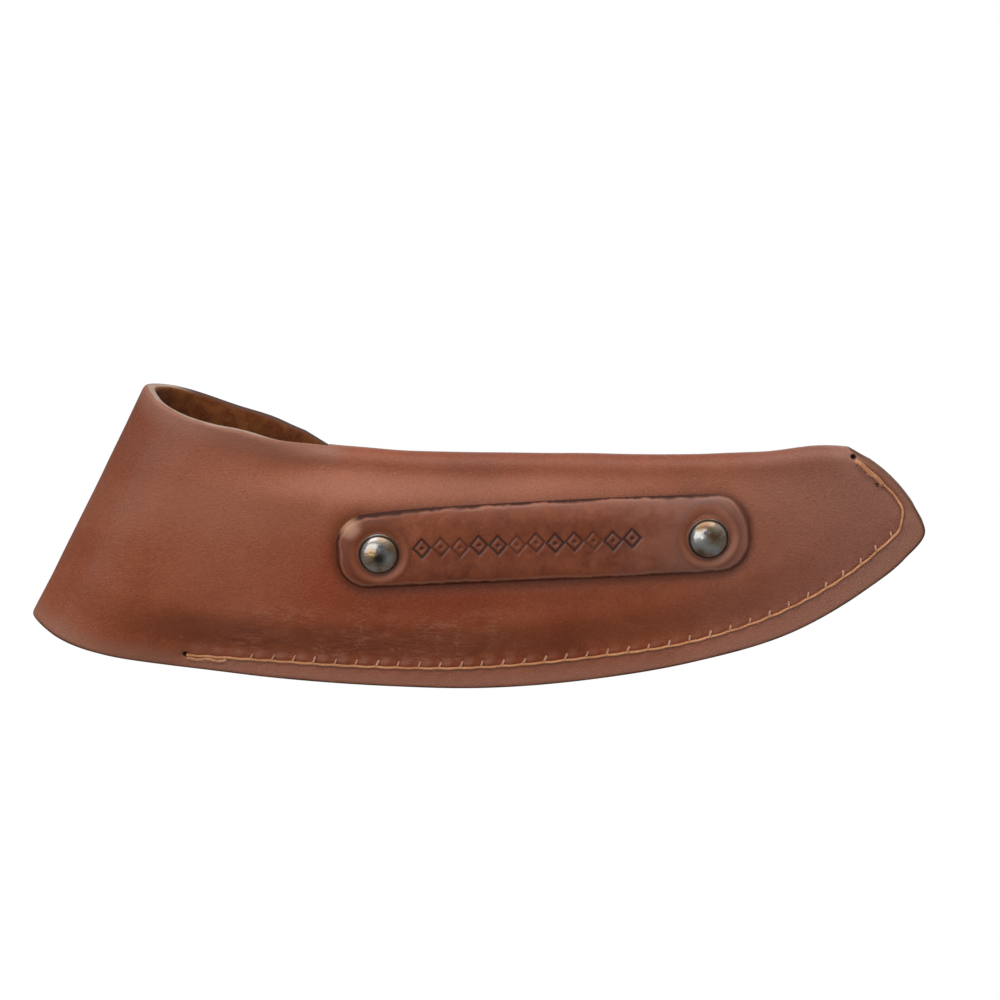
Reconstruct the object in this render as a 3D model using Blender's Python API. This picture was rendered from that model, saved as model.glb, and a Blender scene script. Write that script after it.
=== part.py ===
"""Leather sheath for a curved edge tool.

One blank of leather makes the body: the front panel turns over a soft fold along the top and comes
down again as the back panel. At the left the front panel wraps round into a wing, whose tail laps
outside the back panel, so the two together form an open collar. A welt strip lies between the panels
along the curved edge, and one seam holds the edge shut. A name strap without lettering is riveted to
the front.

X runs along the sheath, -Y is its front, +Z is up. The origin lies under the middle of its length and
of its depth, at the level of the curved edge's lowest point. The shapes are worked out round the middle
plane of the seam, which a parent empty then sets in place. Dimensions below are in millimetres.
"""

import math

import bmesh
import bpy
from mathutils import Matrix, Vector

MM = 0.001

# Leather
LEATHER = 3.2
WELT_THICKNESS = 1.2
STRAP_THICKNESS = 2.7
CLEARANCE = 0.3
STRAP_CLEARANCE = 0.55
HALF_LEATHER = LEATHER / 2

# The front stands further off the seam's middle plane than the back does
MIDDLE_PLANE_Y = 1.74

# Outline of the middle of the leather, as (x, z). A rib runs from the low line up to the high line.
WRAP_FOOT = (-118.6, 19.1)
WRAP_HEAD = (-87.0, 82.4)
SEAM_START = (-79.5, 6.0)
MOUTH_END = (-40.3, 65.0)
NOTCH = (117.3, 50.0)
FOLD_END = (99.8, 64.4)
COLLAR_LOW = [WRAP_FOOT, (-111.4, 14.7), (-100.2, 10.7), (-88.9, 8.0), SEAM_START]
CURVED_EDGE = [
    SEAM_START,
    (-53.4, 2.75),
    (-23.4, 0.55),
    (0.0, 0.0),
    (33.3, 2.75),
    (57.7, 7.1),
    (85.9, 15.9),
    (104.2, 26.9),
    (114.9, 35.7),
    (120.3, 43.2),
    NOTCH,
]
FRONT_RIM = [
    WRAP_HEAD,
    (-84.5, 79.9),
    (-80.0, 77.4),
    (-69.9, 74.0),
    (-62.6, 72.3),
    (-56.5, 70.2),
    (-51.5, 68.3),
    (-46.0, 66.5),
    MOUTH_END,
]
FOLD_TOP = [
    MOUTH_END,
    (-15.0, 63.0),
    (13.0, 62.7),
    (51.0, 62.2),
    (78.0, 63.2),
    (93.0, 64.8),
    FOLD_END,
]
REAR_RIM = [WRAP_HEAD, (-81.6, 81.0), (-63.8, 75.1), (-54.9, 72.4), (-46.0, 68.6)]
TAIL_RIM = [REAR_RIM[-1], (-36.5, 62.6), (-27.0, 57.0)]
TAIL_FOOT = (-64.5, 4.1)
END_BOW = 0.6
END_LEAN = -2.4
END_RUN = 0.15

# Half depths of the hollow, from the middle plane to the middle of the leather. A station counts 0 at
# the wrapped end, 1 where the seam starts and 2 at the far end.
SEAM_DEPTH = 2.5
WRAP_RUN = 7.5
FRONT_BELLY = [
    (0, 6.5),
    (0.35, 10.5),
    (0.7, 10.0),
    (1, 8.3),
    (1.3, 7.2),
    (1.52, 6.8),
    (1.72, 5.2),
    (1.93, 2.5),
    (2, 2.5),
]
FRONT_LOW = [(0, 6.0), (0.35, 9.0), (0.7, 6.4), (1, 2.5), (2, 2.5)]
FRONT_HIGH = [(0, 6.5), (0.35, 10.4), (0.7, 7.4), (1, 2.5), (2, 2.5)]
BACK_BELLY = [(1, 4.0), (1.5, 4.0), (1.72, 4.0), (1.93, 2.5), (2, 2.5)]
LAP_RISE = LEATHER + CLEARANCE
WING_BELLY = [(0, 6.5), (0.35, 10.4), (0.7, 9.0), (1, 4.0 + LAP_RISE), (2, 4.0 + LAP_RISE)]
WING_LOW = [(0, 6.0), (0.35, 9.0), (0.7, 7.6), (1, SEAM_DEPTH + LAP_RISE), (2, SEAM_DEPTH + LAP_RISE)]
WING_HIGH = [(0, 6.5), (0.35, 10.4), (0.7, 8.6), (1, SEAM_DEPTH + LAP_RISE), (2, SEAM_DEPTH + LAP_RISE)]
SEAM_MARGIN = 7.5
BELLY_RISE = 13.0
FOLD_FALL = 13.0
CURL_START = 0.6

# Grid of the blank
WRAP_STEPS = 4
COLLAR_STEPS = 7
POCKET_STEPS = 22
POCKET_CROWDING = 1.35
LAP_STEPS = 3
ROW_SHARES = [0, 0.075, 0.15, 0.24, 0.34, 0.45, 0.56, 0.67, 0.78, 0.89, 1]
CURL_STEPS = 3
WELT_ROWS = 2
WELT_END_COLUMNS = 3

# Name strap
STRAP_MIDDLE = (17.5, 41.7)
STRAP_TILT = math.radians(2.36)
STRAP_LENGTH = 110.4
STRAP_WIDTH = 19.6
STRAP_CORNER = 8.5
STRAP_COLUMNS = 12
STRAP_CORNER_STEPS = 4
STRAP_ROWS = 4

# Rivets
STRAP_RIVETS = {"left": (-26.3, 39.3), "right": (61.5, 42.9)}
LAP_RIVET_RUNS = {"lower": 30.0, "upper": 50.0}
LAP_RIVET_INSET = 6.5
CAP_RADIUS = 5.5
CAP_HEIGHT = 2.7
CAP_LIP = 0.5
BACK_CAP_RADIUS = 4.5
BACK_CAP_HEIGHT = 1.8
BASE_RADIUS = 4.5
BASE_THICKNESS = 0.8
POST_RADIUS = 1.6
POST_BORE = 1.2
STUD_RADIUS = 0.9
RIVET_SIDES = 20

# Seam
THREAD_RADIUS = 0.45
STITCH_PITCH = 5.65
STITCH_HOLE_RADIUS = 0.8
HOLE_INSET = 1.4
THREAD_SIDES = 6
SEAM_LINE = [
    (-78.1, 9.5),
    (-56.0, 7.9),
    (-33.3, 6.4),
    (-6.0, 5.8),
    (34.2, 9.3),
    (55.3, 12.6),
    (74.7, 18.4),
    (92.3, 26.9),
    (108.3, 38.9),
    (113.3, 44.3),
    (114.0, 49.2),
    (109.0, 56.4),
    (100.8, 63.8),
]

# Colours, roughness and metallic value of each piece
BROWN_LEATHER = ((0.262, 0.090, 0.047), 0.48, 0.0)
STRAP_LEATHER = ((0.215, 0.070, 0.036), 0.45, 0.0)
WELT_LEATHER = ((0.110, 0.050, 0.030), 0.60, 0.0)
ORANGE_THREAD = ((0.640, 0.290, 0.130), 0.70, 0.0)
ANTIQUE_NICKEL = ((0.300, 0.235, 0.190), 0.35, 0.9)


def lerp(a, b, share):
    return a + (b - a) * share


def smooth_step(x):
    x = min(max(x, 0.0), 1.0)
    return x * x * (3 - 2 * x)


class Line:
    """A smooth line through points in the XZ plane, read by the share of its length."""

    def __init__(self, points, steps=16):
        knots = [Vector(point) for point in points]
        before = knots[0] * 2 - knots[1]
        after = knots[-1] * 2 - knots[-2]
        padded = [before, *knots, after]
        self.samples = [knots[0]]
        for index in range(1, len(knots)):
            four = padded[index - 1 : index + 3]
            for step in range(1, steps + 1):
                self.samples.append(self.between(four, step / steps))
        self.lengths = [0.0]
        for first, second in zip(self.samples, self.samples[1:]):
            self.lengths.append(self.lengths[-1] + (second - first).length)

    @staticmethod
    def between(four, share):
        """Catmull-Rom with slopes weighted by the chord lengths, which doesn't overshoot uneven points."""
        a, b, c, d = four
        first, middle, last = (b - a).length, (c - b).length, (d - c).length
        slope_b = ((b - a) / first * middle + (c - b) / middle * first) / (first + middle)
        slope_c = ((c - b) / middle * last + (d - c) / last * middle) / (middle + last)
        t2, t3 = share**2, share**3
        return (
            b * (2 * t3 - 3 * t2 + 1)
            + slope_b * middle * (t3 - 2 * t2 + share)
            + c * (3 * t2 - 2 * t3)
            + slope_c * middle * (t3 - t2)
        )

    @property
    def length(self):
        return self.lengths[-1]

    def at_length(self, run):
        run = min(max(run, 0.0), self.length)
        low, high = 0, len(self.lengths) - 1
        while high - low > 1:
            middle = (low + high) // 2
            if self.lengths[middle] <= run:
                low = middle
            else:
                high = middle
        span = self.lengths[high] - self.lengths[low]
        return lerp(self.samples[low], self.samples[high], (run - self.lengths[low]) / span)

    def at(self, share):
        return self.at_length(share * self.length)

    def direction_at_length(self, run, reach=0.5):
        return (self.at_length(run + reach) - self.at_length(run - reach)).normalized()


def graded(table, station):
    """The value at a station, eased between the table's entries."""
    if station <= table[0][0]:
        return table[0][1]
    for index in range(1, len(table)):
        if station <= table[index][0]:
            break
    else:
        return table[-1][1]
    knots = [Vector(entry) for entry in table]
    padded = [knots[0] * 2 - knots[1], *knots, knots[-1] * 2 - knots[-2]]
    share = (station - table[index - 1][0]) / (table[index][0] - table[index - 1][0])
    return Line.between(padded[index - 1 : index + 3], share).y


collar_low = Line(COLLAR_LOW)
curved_edge = Line(CURVED_EDGE)
front_rim = Line(FRONT_RIM)
fold_top = Line(FOLD_TOP)
rear_rim = Line(REAR_RIM)
tail_rim = Line(TAIL_RIM)


def foot_of_rib(station):
    if station <= 1:
        return collar_low.at(station)
    return curved_edge.at(station - 1)


def crest_of_rib(station):
    if station <= 1:
        return front_rim.at(station)
    return fold_top.at(station - 1)


def curl_at(station):
    """How far the top of the front panel has turned over: 0 on the open rim, 1 along the fold."""
    return smooth_step((station - CURL_START) / (1 - CURL_START))


def curl_offset(curl, angle):
    """(inwards, upwards) run of the curled leather at this angle of the full quarter turn."""
    if curl < 0.01:
        return 0.0, SEAM_DEPTH * angle
    radius = SEAM_DEPTH / curl
    return radius * (1 - math.cos(curl * angle)), radius * math.sin(curl * angle)


def near_end(station):
    return smooth_step((station - 2 + END_RUN) / END_RUN)


def rib(station):
    """Foot, shoulder and upward direction of a rib. Above the shoulder the leather starts to curl."""
    foot = foot_of_rib(station)
    crest = crest_of_rib(station)
    curl = curl_at(station)
    upward = lerp((crest - foot).normalized(), Vector((0, 1)), curl).normalized()
    upward.x += END_LEAN * near_end(station)
    shoulder = crest - upward * curl_offset(curl, math.pi / 2)[1]
    return foot, shoulder, upward


def depth(tables, station, share, length):
    """Half depth of the hollow at this share of a rib."""
    belly, low, high = (graded(table, station) for table in tables)
    edge = lerp(low, high, share)
    rise = smooth_step((share * length - SEAM_MARGIN) / BELLY_RISE)
    fall = smooth_step((1 - share) * length / FOLD_FALL)
    return edge + (belly - edge) * rise * fall


def wrap_factor(station):
    """Closes the collar with a quarter ellipse at its wrapped end."""
    width = (Vector(SEAM_START) - Vector(WRAP_FOOT)).length
    run = min(station * width / WRAP_RUN, 1.0)
    return math.sqrt(1 - (1 - run) ** 2)


FRONT = (FRONT_BELLY, FRONT_LOW, FRONT_HIGH)
SEAM_TABLE = [(0, SEAM_DEPTH), (2, SEAM_DEPTH)]
BACK = (BACK_BELLY, SEAM_TABLE, SEAM_TABLE)
WING = (WING_BELLY, WING_LOW, WING_HIGH)


def bow(station, share):
    """The far end is cut in a shallow outward bow."""
    return END_BOW * 4 * share * (1 - share) * near_end(station)


def panel_point(tables, side, station, share):
    """A point of the middle of a panel. side is -1 on the front and +1 on the back."""
    foot, shoulder, _ = rib(station)
    flat = lerp(foot, shoulder, share)
    y = side * depth(tables, station, share, (shoulder - foot).length) * wrap_factor(station)
    outward = bow(station, share)
    return Vector((flat.x + outward, y, flat.y + outward))


def curled_point(tables, side, station, angle):
    """A point above the shoulder, on the quarter turn that leads to the fold's top."""
    _, shoulder, upward = rib(station)
    inward, up = curl_offset(curl_at(station), angle)
    y = side * (depth(tables, station, 1, 1) * wrap_factor(station) - inward)
    flat = shoulder + upward * up
    return Vector((flat.x, y, flat.y))


def station_and_share(x, z):
    """Where a point of the XZ plane lies on the ribs."""
    point = Vector((x, z))
    low, high = 0.0, 2.0
    for _ in range(40):
        middle = (low + high) / 2
        foot, shoulder, _ = rib(middle)
        if (shoulder - foot).cross(point - foot) < 0:
            low = middle
        else:
            high = middle
    foot, shoulder, _ = rib(low)
    along = shoulder - foot
    return low, (point - foot).dot(along) / along.length_squared


def half_depth_at(tables, x, z):
    """Half depth of the hollow at a point of the XZ plane."""
    station, share = station_and_share(x, z)
    foot, shoulder, _ = rib(station)
    return depth(tables, station, min(share, 1.0), (shoulder - foot).length) * wrap_factor(station)


def frame_at(tables, side, x, z, reach=1.0):
    """A matrix at a panel's middle surface: its Z axis points out of the sheath."""
    right = half_depth_at(tables, x + reach, z) - half_depth_at(tables, x - reach, z)
    up = half_depth_at(tables, x, z + reach) - half_depth_at(tables, x, z - reach)
    along_x = Vector((2 * reach, side * right, 0))
    along_z = Vector((0, side * up, 2 * reach))
    outward = along_x.cross(along_z).normalized()
    if outward.y * side < 0:
        outward.negate()
    across = Vector((1, 0, 0)) - outward * outward.x
    across.normalize()
    upward = outward.cross(across)
    turn = Matrix((across, upward, outward)).transposed().to_4x4()
    place = Vector((x, side * half_depth_at(tables, x, z), z))
    return Matrix.Translation(place) @ turn


# Mesh helpers


def new_material(name, finish):
    colour, roughness, metallic = finish
    material = bpy.data.materials.new(name)
    material.use_nodes = True
    shader = material.node_tree.nodes["Principled BSDF"]
    shader.inputs["Base Color"].default_value = (*colour, 1)
    shader.inputs["Roughness"].default_value = roughness
    shader.inputs["Metallic"].default_value = metallic
    material.diffuse_color = (*colour, 1)
    return material


def new_object(name, points, faces, finish=None):
    """An object from points in millimetres. Without a finish it is a cutter or a helper."""
    mesh = bpy.data.meshes.new(name)
    mesh.from_pydata([Vector(point) * MM for point in points], [], faces)
    mesh.validate()
    bm = bmesh.new()
    bm.from_mesh(mesh)
    bmesh.ops.recalc_face_normals(bm, faces=bm.faces)
    bm.to_mesh(mesh)
    bm.free()
    obj = bpy.data.objects.new(name, mesh)
    bpy.context.scene.collection.objects.link(obj)
    if finish:
        mesh.materials.append(new_material(name, finish))
        mesh.shade_smooth()
        mesh.set_sharp_from_angle(angle=math.radians(40))
    else:
        obj.hide_render = True
        obj.display_type = "WIRE"
    return obj


def thicken(obj, thickness):
    """Gives a sheet its thickness, half to each side."""
    solidify = obj.modifiers.new("thickness", "SOLIDIFY")
    solidify.thickness = thickness * MM
    solidify.offset = 0
    solidify.use_even_offset = True
    solidify.use_quality_normals = True


def boolean(obj, other, operation):
    modifier = obj.modifiers.new(operation.lower(), "BOOLEAN")
    modifier.operation = operation
    modifier.solver = "EXACT"
    modifier.object = other


def set_origin(obj, place):
    """Moves the object's origin to a place in millimetres, leaving its shape where it is."""
    shift = Vector(place) * MM
    obj.data.transform(Matrix.Translation(-shift))
    obj.location = shift


def tube(path, radius, sides):
    """Points and faces of a closed tube along a path of 3-D points."""
    points, faces = [], []
    previous = None
    for index, centre in enumerate(path):
        before = path[max(index - 1, 0)]
        after = path[min(index + 1, len(path) - 1)]
        tangent = (after - before).normalized()
        guide = previous if previous is not None else Vector((0.3, 1, 0.2))
        normal = (guide - tangent * guide.dot(tangent)).normalized()
        previous = normal
        side_way = tangent.cross(normal)
        for corner in range(sides):
            angle = 2 * math.pi * corner / sides
            offset = normal * math.cos(angle) + side_way * math.sin(angle)
            points.append(centre + offset * radius)
    for ring in range(len(path) - 1):
        for corner in range(sides):
            after = (corner + 1) % sides
            a, b = ring * sides + corner, ring * sides + after
            faces.append((a, b, b + sides, a + sides))
    faces.append(tuple(range(sides)))
    last = (len(path) - 1) * sides
    faces.append(tuple(range(last, last + sides)))
    return points, faces


def joined(shapes):
    """Several (points, faces) shapes as one."""
    points, faces = [], []
    for shape_points, shape_faces in shapes:
        start = len(points)
        points += shape_points
        faces += [tuple(index + start for index in face) for face in shape_faces]
    return points, faces


def turned(profile, sides):
    """Points and faces of a profile of (radius, height) turned about Z. Its ends lie on the axis."""
    points = [Vector((0, 0, profile[0][1]))]
    for radius, height in profile[1:-1]:
        for corner in range(sides):
            angle = 2 * math.pi * corner / sides
            points.append(Vector((radius * math.cos(angle), radius * math.sin(angle), height)))
    points.append(Vector((0, 0, profile[-1][1])))
    faces = []
    rings = len(profile) - 2
    end = len(points) - 1
    for corner in range(sides):
        after = (corner + 1) % sides
        faces.append((0, 1 + corner, 1 + after))
        faces.append((end, 1 + (rings - 1) * sides + after, 1 + (rings - 1) * sides + corner))
        for ring in range(rings - 1):
            a, b = 1 + ring * sides + corner, 1 + ring * sides + after
            faces.append((a, a + sides, b + sides, b))
    return points, faces


# The body and its welt


def collar_stations():
    """Stations from the wrapped end to the start of the seam, close together round the wrap."""
    width = (Vector(SEAM_START) - Vector(WRAP_FOOT)).length
    wrap = WRAP_RUN / width
    round_part = [wrap * (1 - math.cos(math.pi / 2 * k / WRAP_STEPS)) for k in range(WRAP_STEPS)]
    return round_part + [lerp(wrap, 1, k / COLLAR_STEPS) for k in range(COLLAR_STEPS + 1)]


def pocket_stations():
    """Stations from the start of the seam to the far end, closer together towards the end."""
    return [2 - (1 - k / POCKET_STEPS) ** POCKET_CROWDING for k in range(POCKET_STEPS + 1)]


def panel_column(tables, side, station):
    column = [panel_point(tables, side, station, share) for share in ROW_SHARES]
    for step in range(1, CURL_STEPS + 1):
        column.append(curled_point(tables, side, station, math.pi / 2 * step / CURL_STEPS))
    return column


def wing_rows():
    """Shares of the wing's ribs that meet the front panel's rows at the wrapped end."""
    length = (Vector(WRAP_HEAD) - Vector(WRAP_FOOT)).length
    straight = length - SEAM_DEPTH * math.pi / 2
    rows = [share * straight / length for share in ROW_SHARES]
    for step in range(1, CURL_STEPS + 1):
        rows.append(lerp(straight, length, step / CURL_STEPS) / length)
    return rows


def wing_column(foot, crest, station):
    column = []
    length = (crest - foot).length
    for share in wing_rows():
        flat = lerp(foot, crest, share)
        half = depth(WING, station, share, length)
        if station > 1:
            half = half_depth_at(BACK, flat.x, flat.y) + LAP_RISE
        column.append(Vector((flat.x, half * wrap_factor(station), flat.y)))
    return column


def grid_faces(columns):
    """Quads between neighbouring columns of vertex numbers."""
    faces = []
    for left, right in zip(columns, columns[1:]):
        for row in range(len(left) - 1):
            faces.append((left[row], right[row], right[row + 1], left[row + 1]))
    return faces


def make_body():
    """The one blank: front panel, fold, back panel, and the wing that wraps round the left end."""
    points = []

    def add(column):
        start = len(points)
        points.extend(column)
        return list(range(start, start + len(column)))

    collar = collar_stations()
    pocket = pocket_stations()
    front = [add(panel_column(FRONT, -1, station)) for station in collar[:-1] + pocket]
    fold = front[len(collar) - 1 :]
    back = []
    for station, front_column in zip(pocket, fold):
        column = add(panel_column(BACK, 1, station)[:-1])
        back.append(column + [front_column[-1]])
    wing = [front[0]]
    for station in collar[1:]:
        wing.append(add(wing_column(foot_of_rib(station), rear_rim.at(station), station)))
    for step in range(1, LAP_STEPS + 1):
        share = step / LAP_STEPS
        foot = curved_edge.at_length(share * (Vector(TAIL_FOOT) - Vector(SEAM_START)).length)
        wing.append(add(wing_column(foot, tail_rim.at(share), 1 + 0.01 * step)))
    faces = grid_faces(front) + grid_faces(back) + grid_faces(wing)
    body = new_object("sheath_body", points, faces, BROWN_LEATHER)
    thicken(body, LEATHER)
    return body


def make_welt():
    """The strip between the panels: two rows along the curved edge and the columns at the far end."""
    pocket = pocket_stations()
    points, number = [], {}

    def vertex(column, row):
        if (column, row) not in number:
            number[column, row] = len(points)
            place = panel_point(BACK, 1, pocket[column], ROW_SHARES[row])
            points.append(Vector((place.x, 0, place.z)))
        return number[column, row]

    faces = []
    first_end_column = len(pocket) - 1 - WELT_END_COLUMNS
    for column in range(len(pocket) - 1):
        rows = len(ROW_SHARES) - 2 if column >= first_end_column else WELT_ROWS
        for row in range(rows):
            corners = ((0, 0), (1, 0), (1, 1), (0, 1))
            faces.append(tuple(vertex(column + i, row + j) for i, j in corners))
    welt = new_object("welt", points, faces, WELT_LEATHER)
    thicken(welt, WELT_THICKNESS)
    return welt


# The name strap


def strap_place(along, across):
    """(x, z) of a point of the strap."""
    cos, sin = math.cos(STRAP_TILT), math.sin(STRAP_TILT)
    x = STRAP_MIDDLE[0] + along * cos - across * sin
    z = STRAP_MIDDLE[1] + along * sin + across * cos
    return x, z


def on_front(x, z, lift):
    """The point above the front panel's middle surface by this lift."""
    return frame_at(FRONT, -1, x, z) @ Vector((0, 0, lift))


def strap_half_width(along):
    into_corner = max(abs(along) - (STRAP_LENGTH / 2 - STRAP_CORNER), 0)
    into_corner = min(into_corner, STRAP_CORNER)
    return STRAP_WIDTH / 2 - STRAP_CORNER + math.sqrt(STRAP_CORNER**2 - into_corner**2)


def make_strap():
    straight = STRAP_LENGTH / 2 - STRAP_CORNER
    corner = [
        straight + STRAP_CORNER * math.sin(math.pi / 2 * k / STRAP_CORNER_STEPS)
        for k in range(1, STRAP_CORNER_STEPS + 1)
    ]
    middle = [lerp(-straight, straight, k / STRAP_COLUMNS) for k in range(STRAP_COLUMNS + 1)]
    stations = [-run for run in reversed(corner)] + middle + corner
    lift = HALF_LEATHER + STRAP_CLEARANCE + STRAP_THICKNESS / 2
    points, columns = [], []
    for along in stations:
        half = strap_half_width(along)
        columns.append(list(range(len(points), len(points) + STRAP_ROWS + 1)))
        for row in range(STRAP_ROWS + 1):
            across = lerp(-half, half, row / STRAP_ROWS)
            points.append(on_front(*strap_place(along, across), lift))
    strap = new_object("label_strap", points, grid_faces(columns), STRAP_LEATHER)
    thicken(strap, STRAP_THICKNESS)
    return strap


# Rivets: a domed cap with a stud, pressed into the tubular post of a flat base


def cap_shape(radius, height, reach):
    """Cap whose underside lies at height 0. Its stud reaches down by this much."""
    profile = [(0, height)]
    for step in range(1, 5):
        angle = math.pi / 2 * step / 5
        profile.append((radius * math.sin(angle), CAP_LIP + (height - CAP_LIP) * math.cos(angle)))
    profile += [(radius, CAP_LIP), (radius - 0.3, 0), (STUD_RADIUS, 0), (STUD_RADIUS, -reach), (0, -reach)]
    return turned(profile, RIVET_SIDES)


def base_shape(post_height):
    """Base whose upper face lies at height 0, with its post standing up through the leather."""
    bottom = -BASE_THICKNESS
    profile = [
        (0, post_height * 0.15),
        (POST_BORE, post_height * 0.15),
        (POST_BORE, post_height),
        (POST_RADIUS, post_height),
        (POST_RADIUS, 0),
        (BASE_RADIUS - 0.2, 0),
        (BASE_RADIUS, bottom / 2),
        (BASE_RADIUS - 0.2, bottom),
        (0, bottom),
    ]
    return turned(profile, RIVET_SIDES)


def place_shape(name, shape, matrix, finish):
    points, faces = shape
    obj = new_object(name, [matrix @ point for point in points], faces, finish)
    set_origin(obj, matrix.translation)
    return obj


def make_rivet(cap_name, base_name, matrix, outer_face, inner_face, radius, height):
    """A rivet on a panel's frame. The faces are heights of the stack's outer and inner faces."""
    cap_level = outer_face + CLEARANCE
    base_level = inner_face - CLEARANCE
    post_height = cap_level - base_level - CLEARANCE
    stud_reach = post_height * 0.85
    up_to_cap = matrix @ Matrix.Translation((0, 0, cap_level))
    down_to_base = matrix @ Matrix.Translation((0, 0, base_level))
    place_shape(cap_name, cap_shape(radius, height, stud_reach), up_to_cap, ANTIQUE_NICKEL)
    place_shape(base_name, base_shape(post_height), down_to_base, ANTIQUE_NICKEL)


def rivet_hole(matrix, outer_face, inner_face):
    radius = POST_RADIUS + CLEARANCE
    top, bottom = outer_face + 1.0, inner_face - 1.0
    profile = [(0, top), (radius, top), (radius, bottom), (0, bottom)]
    points, faces = turned(profile, RIVET_SIDES // 2)
    return [matrix @ point for point in points], faces


def lap_rivet_place(run):
    """(x, z) on the line that the lap rivets share, beside the back panel's left edge."""
    start, end = Vector(SEAM_START), Vector(MOUTH_END)
    along = (end - start).normalized()
    beside = Vector((along.y, -along.x))
    return start + along * run + beside * LAP_RIVET_INSET


def make_rivets(strap):
    """All four rivets. Returns the shapes of their holes in the body."""
    holes = []
    strap_top = HALF_LEATHER + STRAP_CLEARANCE + STRAP_THICKNESS
    strap_holes = []
    for side, (x, z) in STRAP_RIVETS.items():
        matrix = frame_at(FRONT, -1, x, z)
        names = (f"label_rivet_cap_{side}", f"label_rivet_base_{side}")
        make_rivet(*names, matrix, strap_top, -HALF_LEATHER, CAP_RADIUS, CAP_HEIGHT)
        hole = rivet_hole(matrix, strap_top, -HALF_LEATHER)
        holes.append(hole)
        strap_holes.append(hole)
    boolean(strap, new_object("strap_hole_cutter", *joined(strap_holes)), "DIFFERENCE")
    wing_top = HALF_LEATHER + LAP_RISE
    for level, run in LAP_RIVET_RUNS.items():
        matrix = frame_at(BACK, 1, *lap_rivet_place(run))
        names = (f"lap_rivet_cap_{level}", f"lap_rivet_base_{level}")
        make_rivet(*names, matrix, wing_top, -HALF_LEATHER, BACK_CAP_RADIUS, BACK_CAP_HEIGHT)
        holes.append(rivet_hole(matrix, wing_top, -HALF_LEATHER))
    return holes


# The seam


def seam_stops():
    """Places along the seam, one per stitch hole: (point on the line, inward direction)."""
    line = Line(SEAM_LINE)
    count = round(line.length / STITCH_PITCH)
    stops = []
    for index in range(count + 1):
        run = line.length * index / count
        along = line.direction_at_length(run)
        stops.append((line.at_length(run), Vector((-along.y, along.x))))
    return stops


def outer_half_depth(tables, x, z):
    """Half depth of the panel's outer face, also where it rounds over the fold."""
    station, share = station_and_share(x, z)
    _, shoulder, _ = rib(station)
    if share <= 1:
        return half_depth_at(tables, x, z) + HALF_LEATHER
    outer_radius = SEAM_DEPTH + HALF_LEATHER
    above = min(z - shoulder.y, outer_radius * 0.9)
    return math.sqrt(outer_radius**2 - above**2)


def laid_level(tables, x, z):
    return outer_half_depth(tables, x, z) + CLEARANCE + THREAD_RADIUS


def under_tail(x, z):
    """Whether the wing's tail lies over this place of the seam."""
    foot, crest = Vector(TAIL_FOOT), Vector(TAIL_RIM[-1])
    return (crest - foot).cross(Vector((x, z)) - foot) > 0


def back_level(x, z):
    level = laid_level(BACK, x, z)
    return level + LAP_RISE if under_tail(x, z) else level


def make_front_thread(stops):
    """The upper thread lies straight along the front and goes down the first and the last hole."""
    path = []
    for index, (place, _) in enumerate(stops):
        x, z = place
        path.append(Vector((x, -laid_level(FRONT, x, z), z)))
        if index + 1 < len(stops):
            x, z = lerp(place, stops[index + 1][0], 0.5)
            path.append(Vector((x, -laid_level(FRONT, x, z), z)))
    first, last = path[0], path[-1]
    path.insert(0, Vector((first.x, -1.2, first.z)))
    path.append(Vector((last.x, -1.2, last.z)))
    new_object("seam_front_thread", *tube(path, THREAD_RADIUS, THREAD_SIDES), ORANGE_THREAD)


def hole_place(stops, index):
    """Stitch holes lie beside the laid thread, except the first and last, where the thread ends."""
    place, inward = stops[index]
    if index in (0, len(stops) - 1):
        return place
    return place + inward * HOLE_INSET


def make_back_thread(stops):
    """The lower thread lies along the back and sends a loop up through every hole to the front."""
    places = [hole_place(stops, index) for index in range(len(stops))]
    path = []
    for here, after in zip(places, places[1:]):
        path.append(Vector((here.x, back_level(*here), here.y)))
        if under_tail(*here) and not under_tail(*after):
            edge = here
            while under_tail(*edge):
                edge = edge + (after - here) * 0.02
            beyond = edge + (after - here).normalized() * (THREAD_RADIUS + 2 * CLEARANCE)
            path.append(Vector((beyond.x, back_level(*here), beyond.y)))
            path.append(Vector((beyond.x, laid_level(BACK, *beyond), beyond.y)))
    last = places[-1]
    path.append(Vector((last.x, back_level(*last), last.y)))
    laid = new_object("seam_back_thread", *tube(path, THREAD_RADIUS, THREAD_SIDES), ORANGE_THREAD)
    loops = []
    for index, place in enumerate(places):
        inward = stops[index][1]
        start = Vector((place.x, back_level(*place), place.y))
        if index in (0, len(places) - 1):
            loops.append(tube([start, Vector((place.x, 0.6, place.y))], THREAD_RADIUS * 0.98, THREAD_SIDES))
            continue
        front = -laid_level(FRONT, *place)
        bend = Vector((place.x, front, place.y))
        nose = place - inward * (HOLE_INSET - 2 * THREAD_RADIUS - 0.5 * CLEARANCE)
        tip = Vector((nose.x, front, nose.y))
        loops.append(tube([start, bend, tip], THREAD_RADIUS * 0.98, THREAD_SIDES))
    boolean(laid, new_object("stitch_loops", *joined(loops)), "UNION")


def stitch_holes(stops):
    holes = []
    for index in range(len(stops)):
        place = hole_place(stops, index)
        ends = [Vector((place.x, y, place.y)) for y in (-7.0, 11.0)]
        holes.append(tube(ends, STITCH_HOLE_RADIUS, THREAD_SIDES))
    return holes


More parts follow.
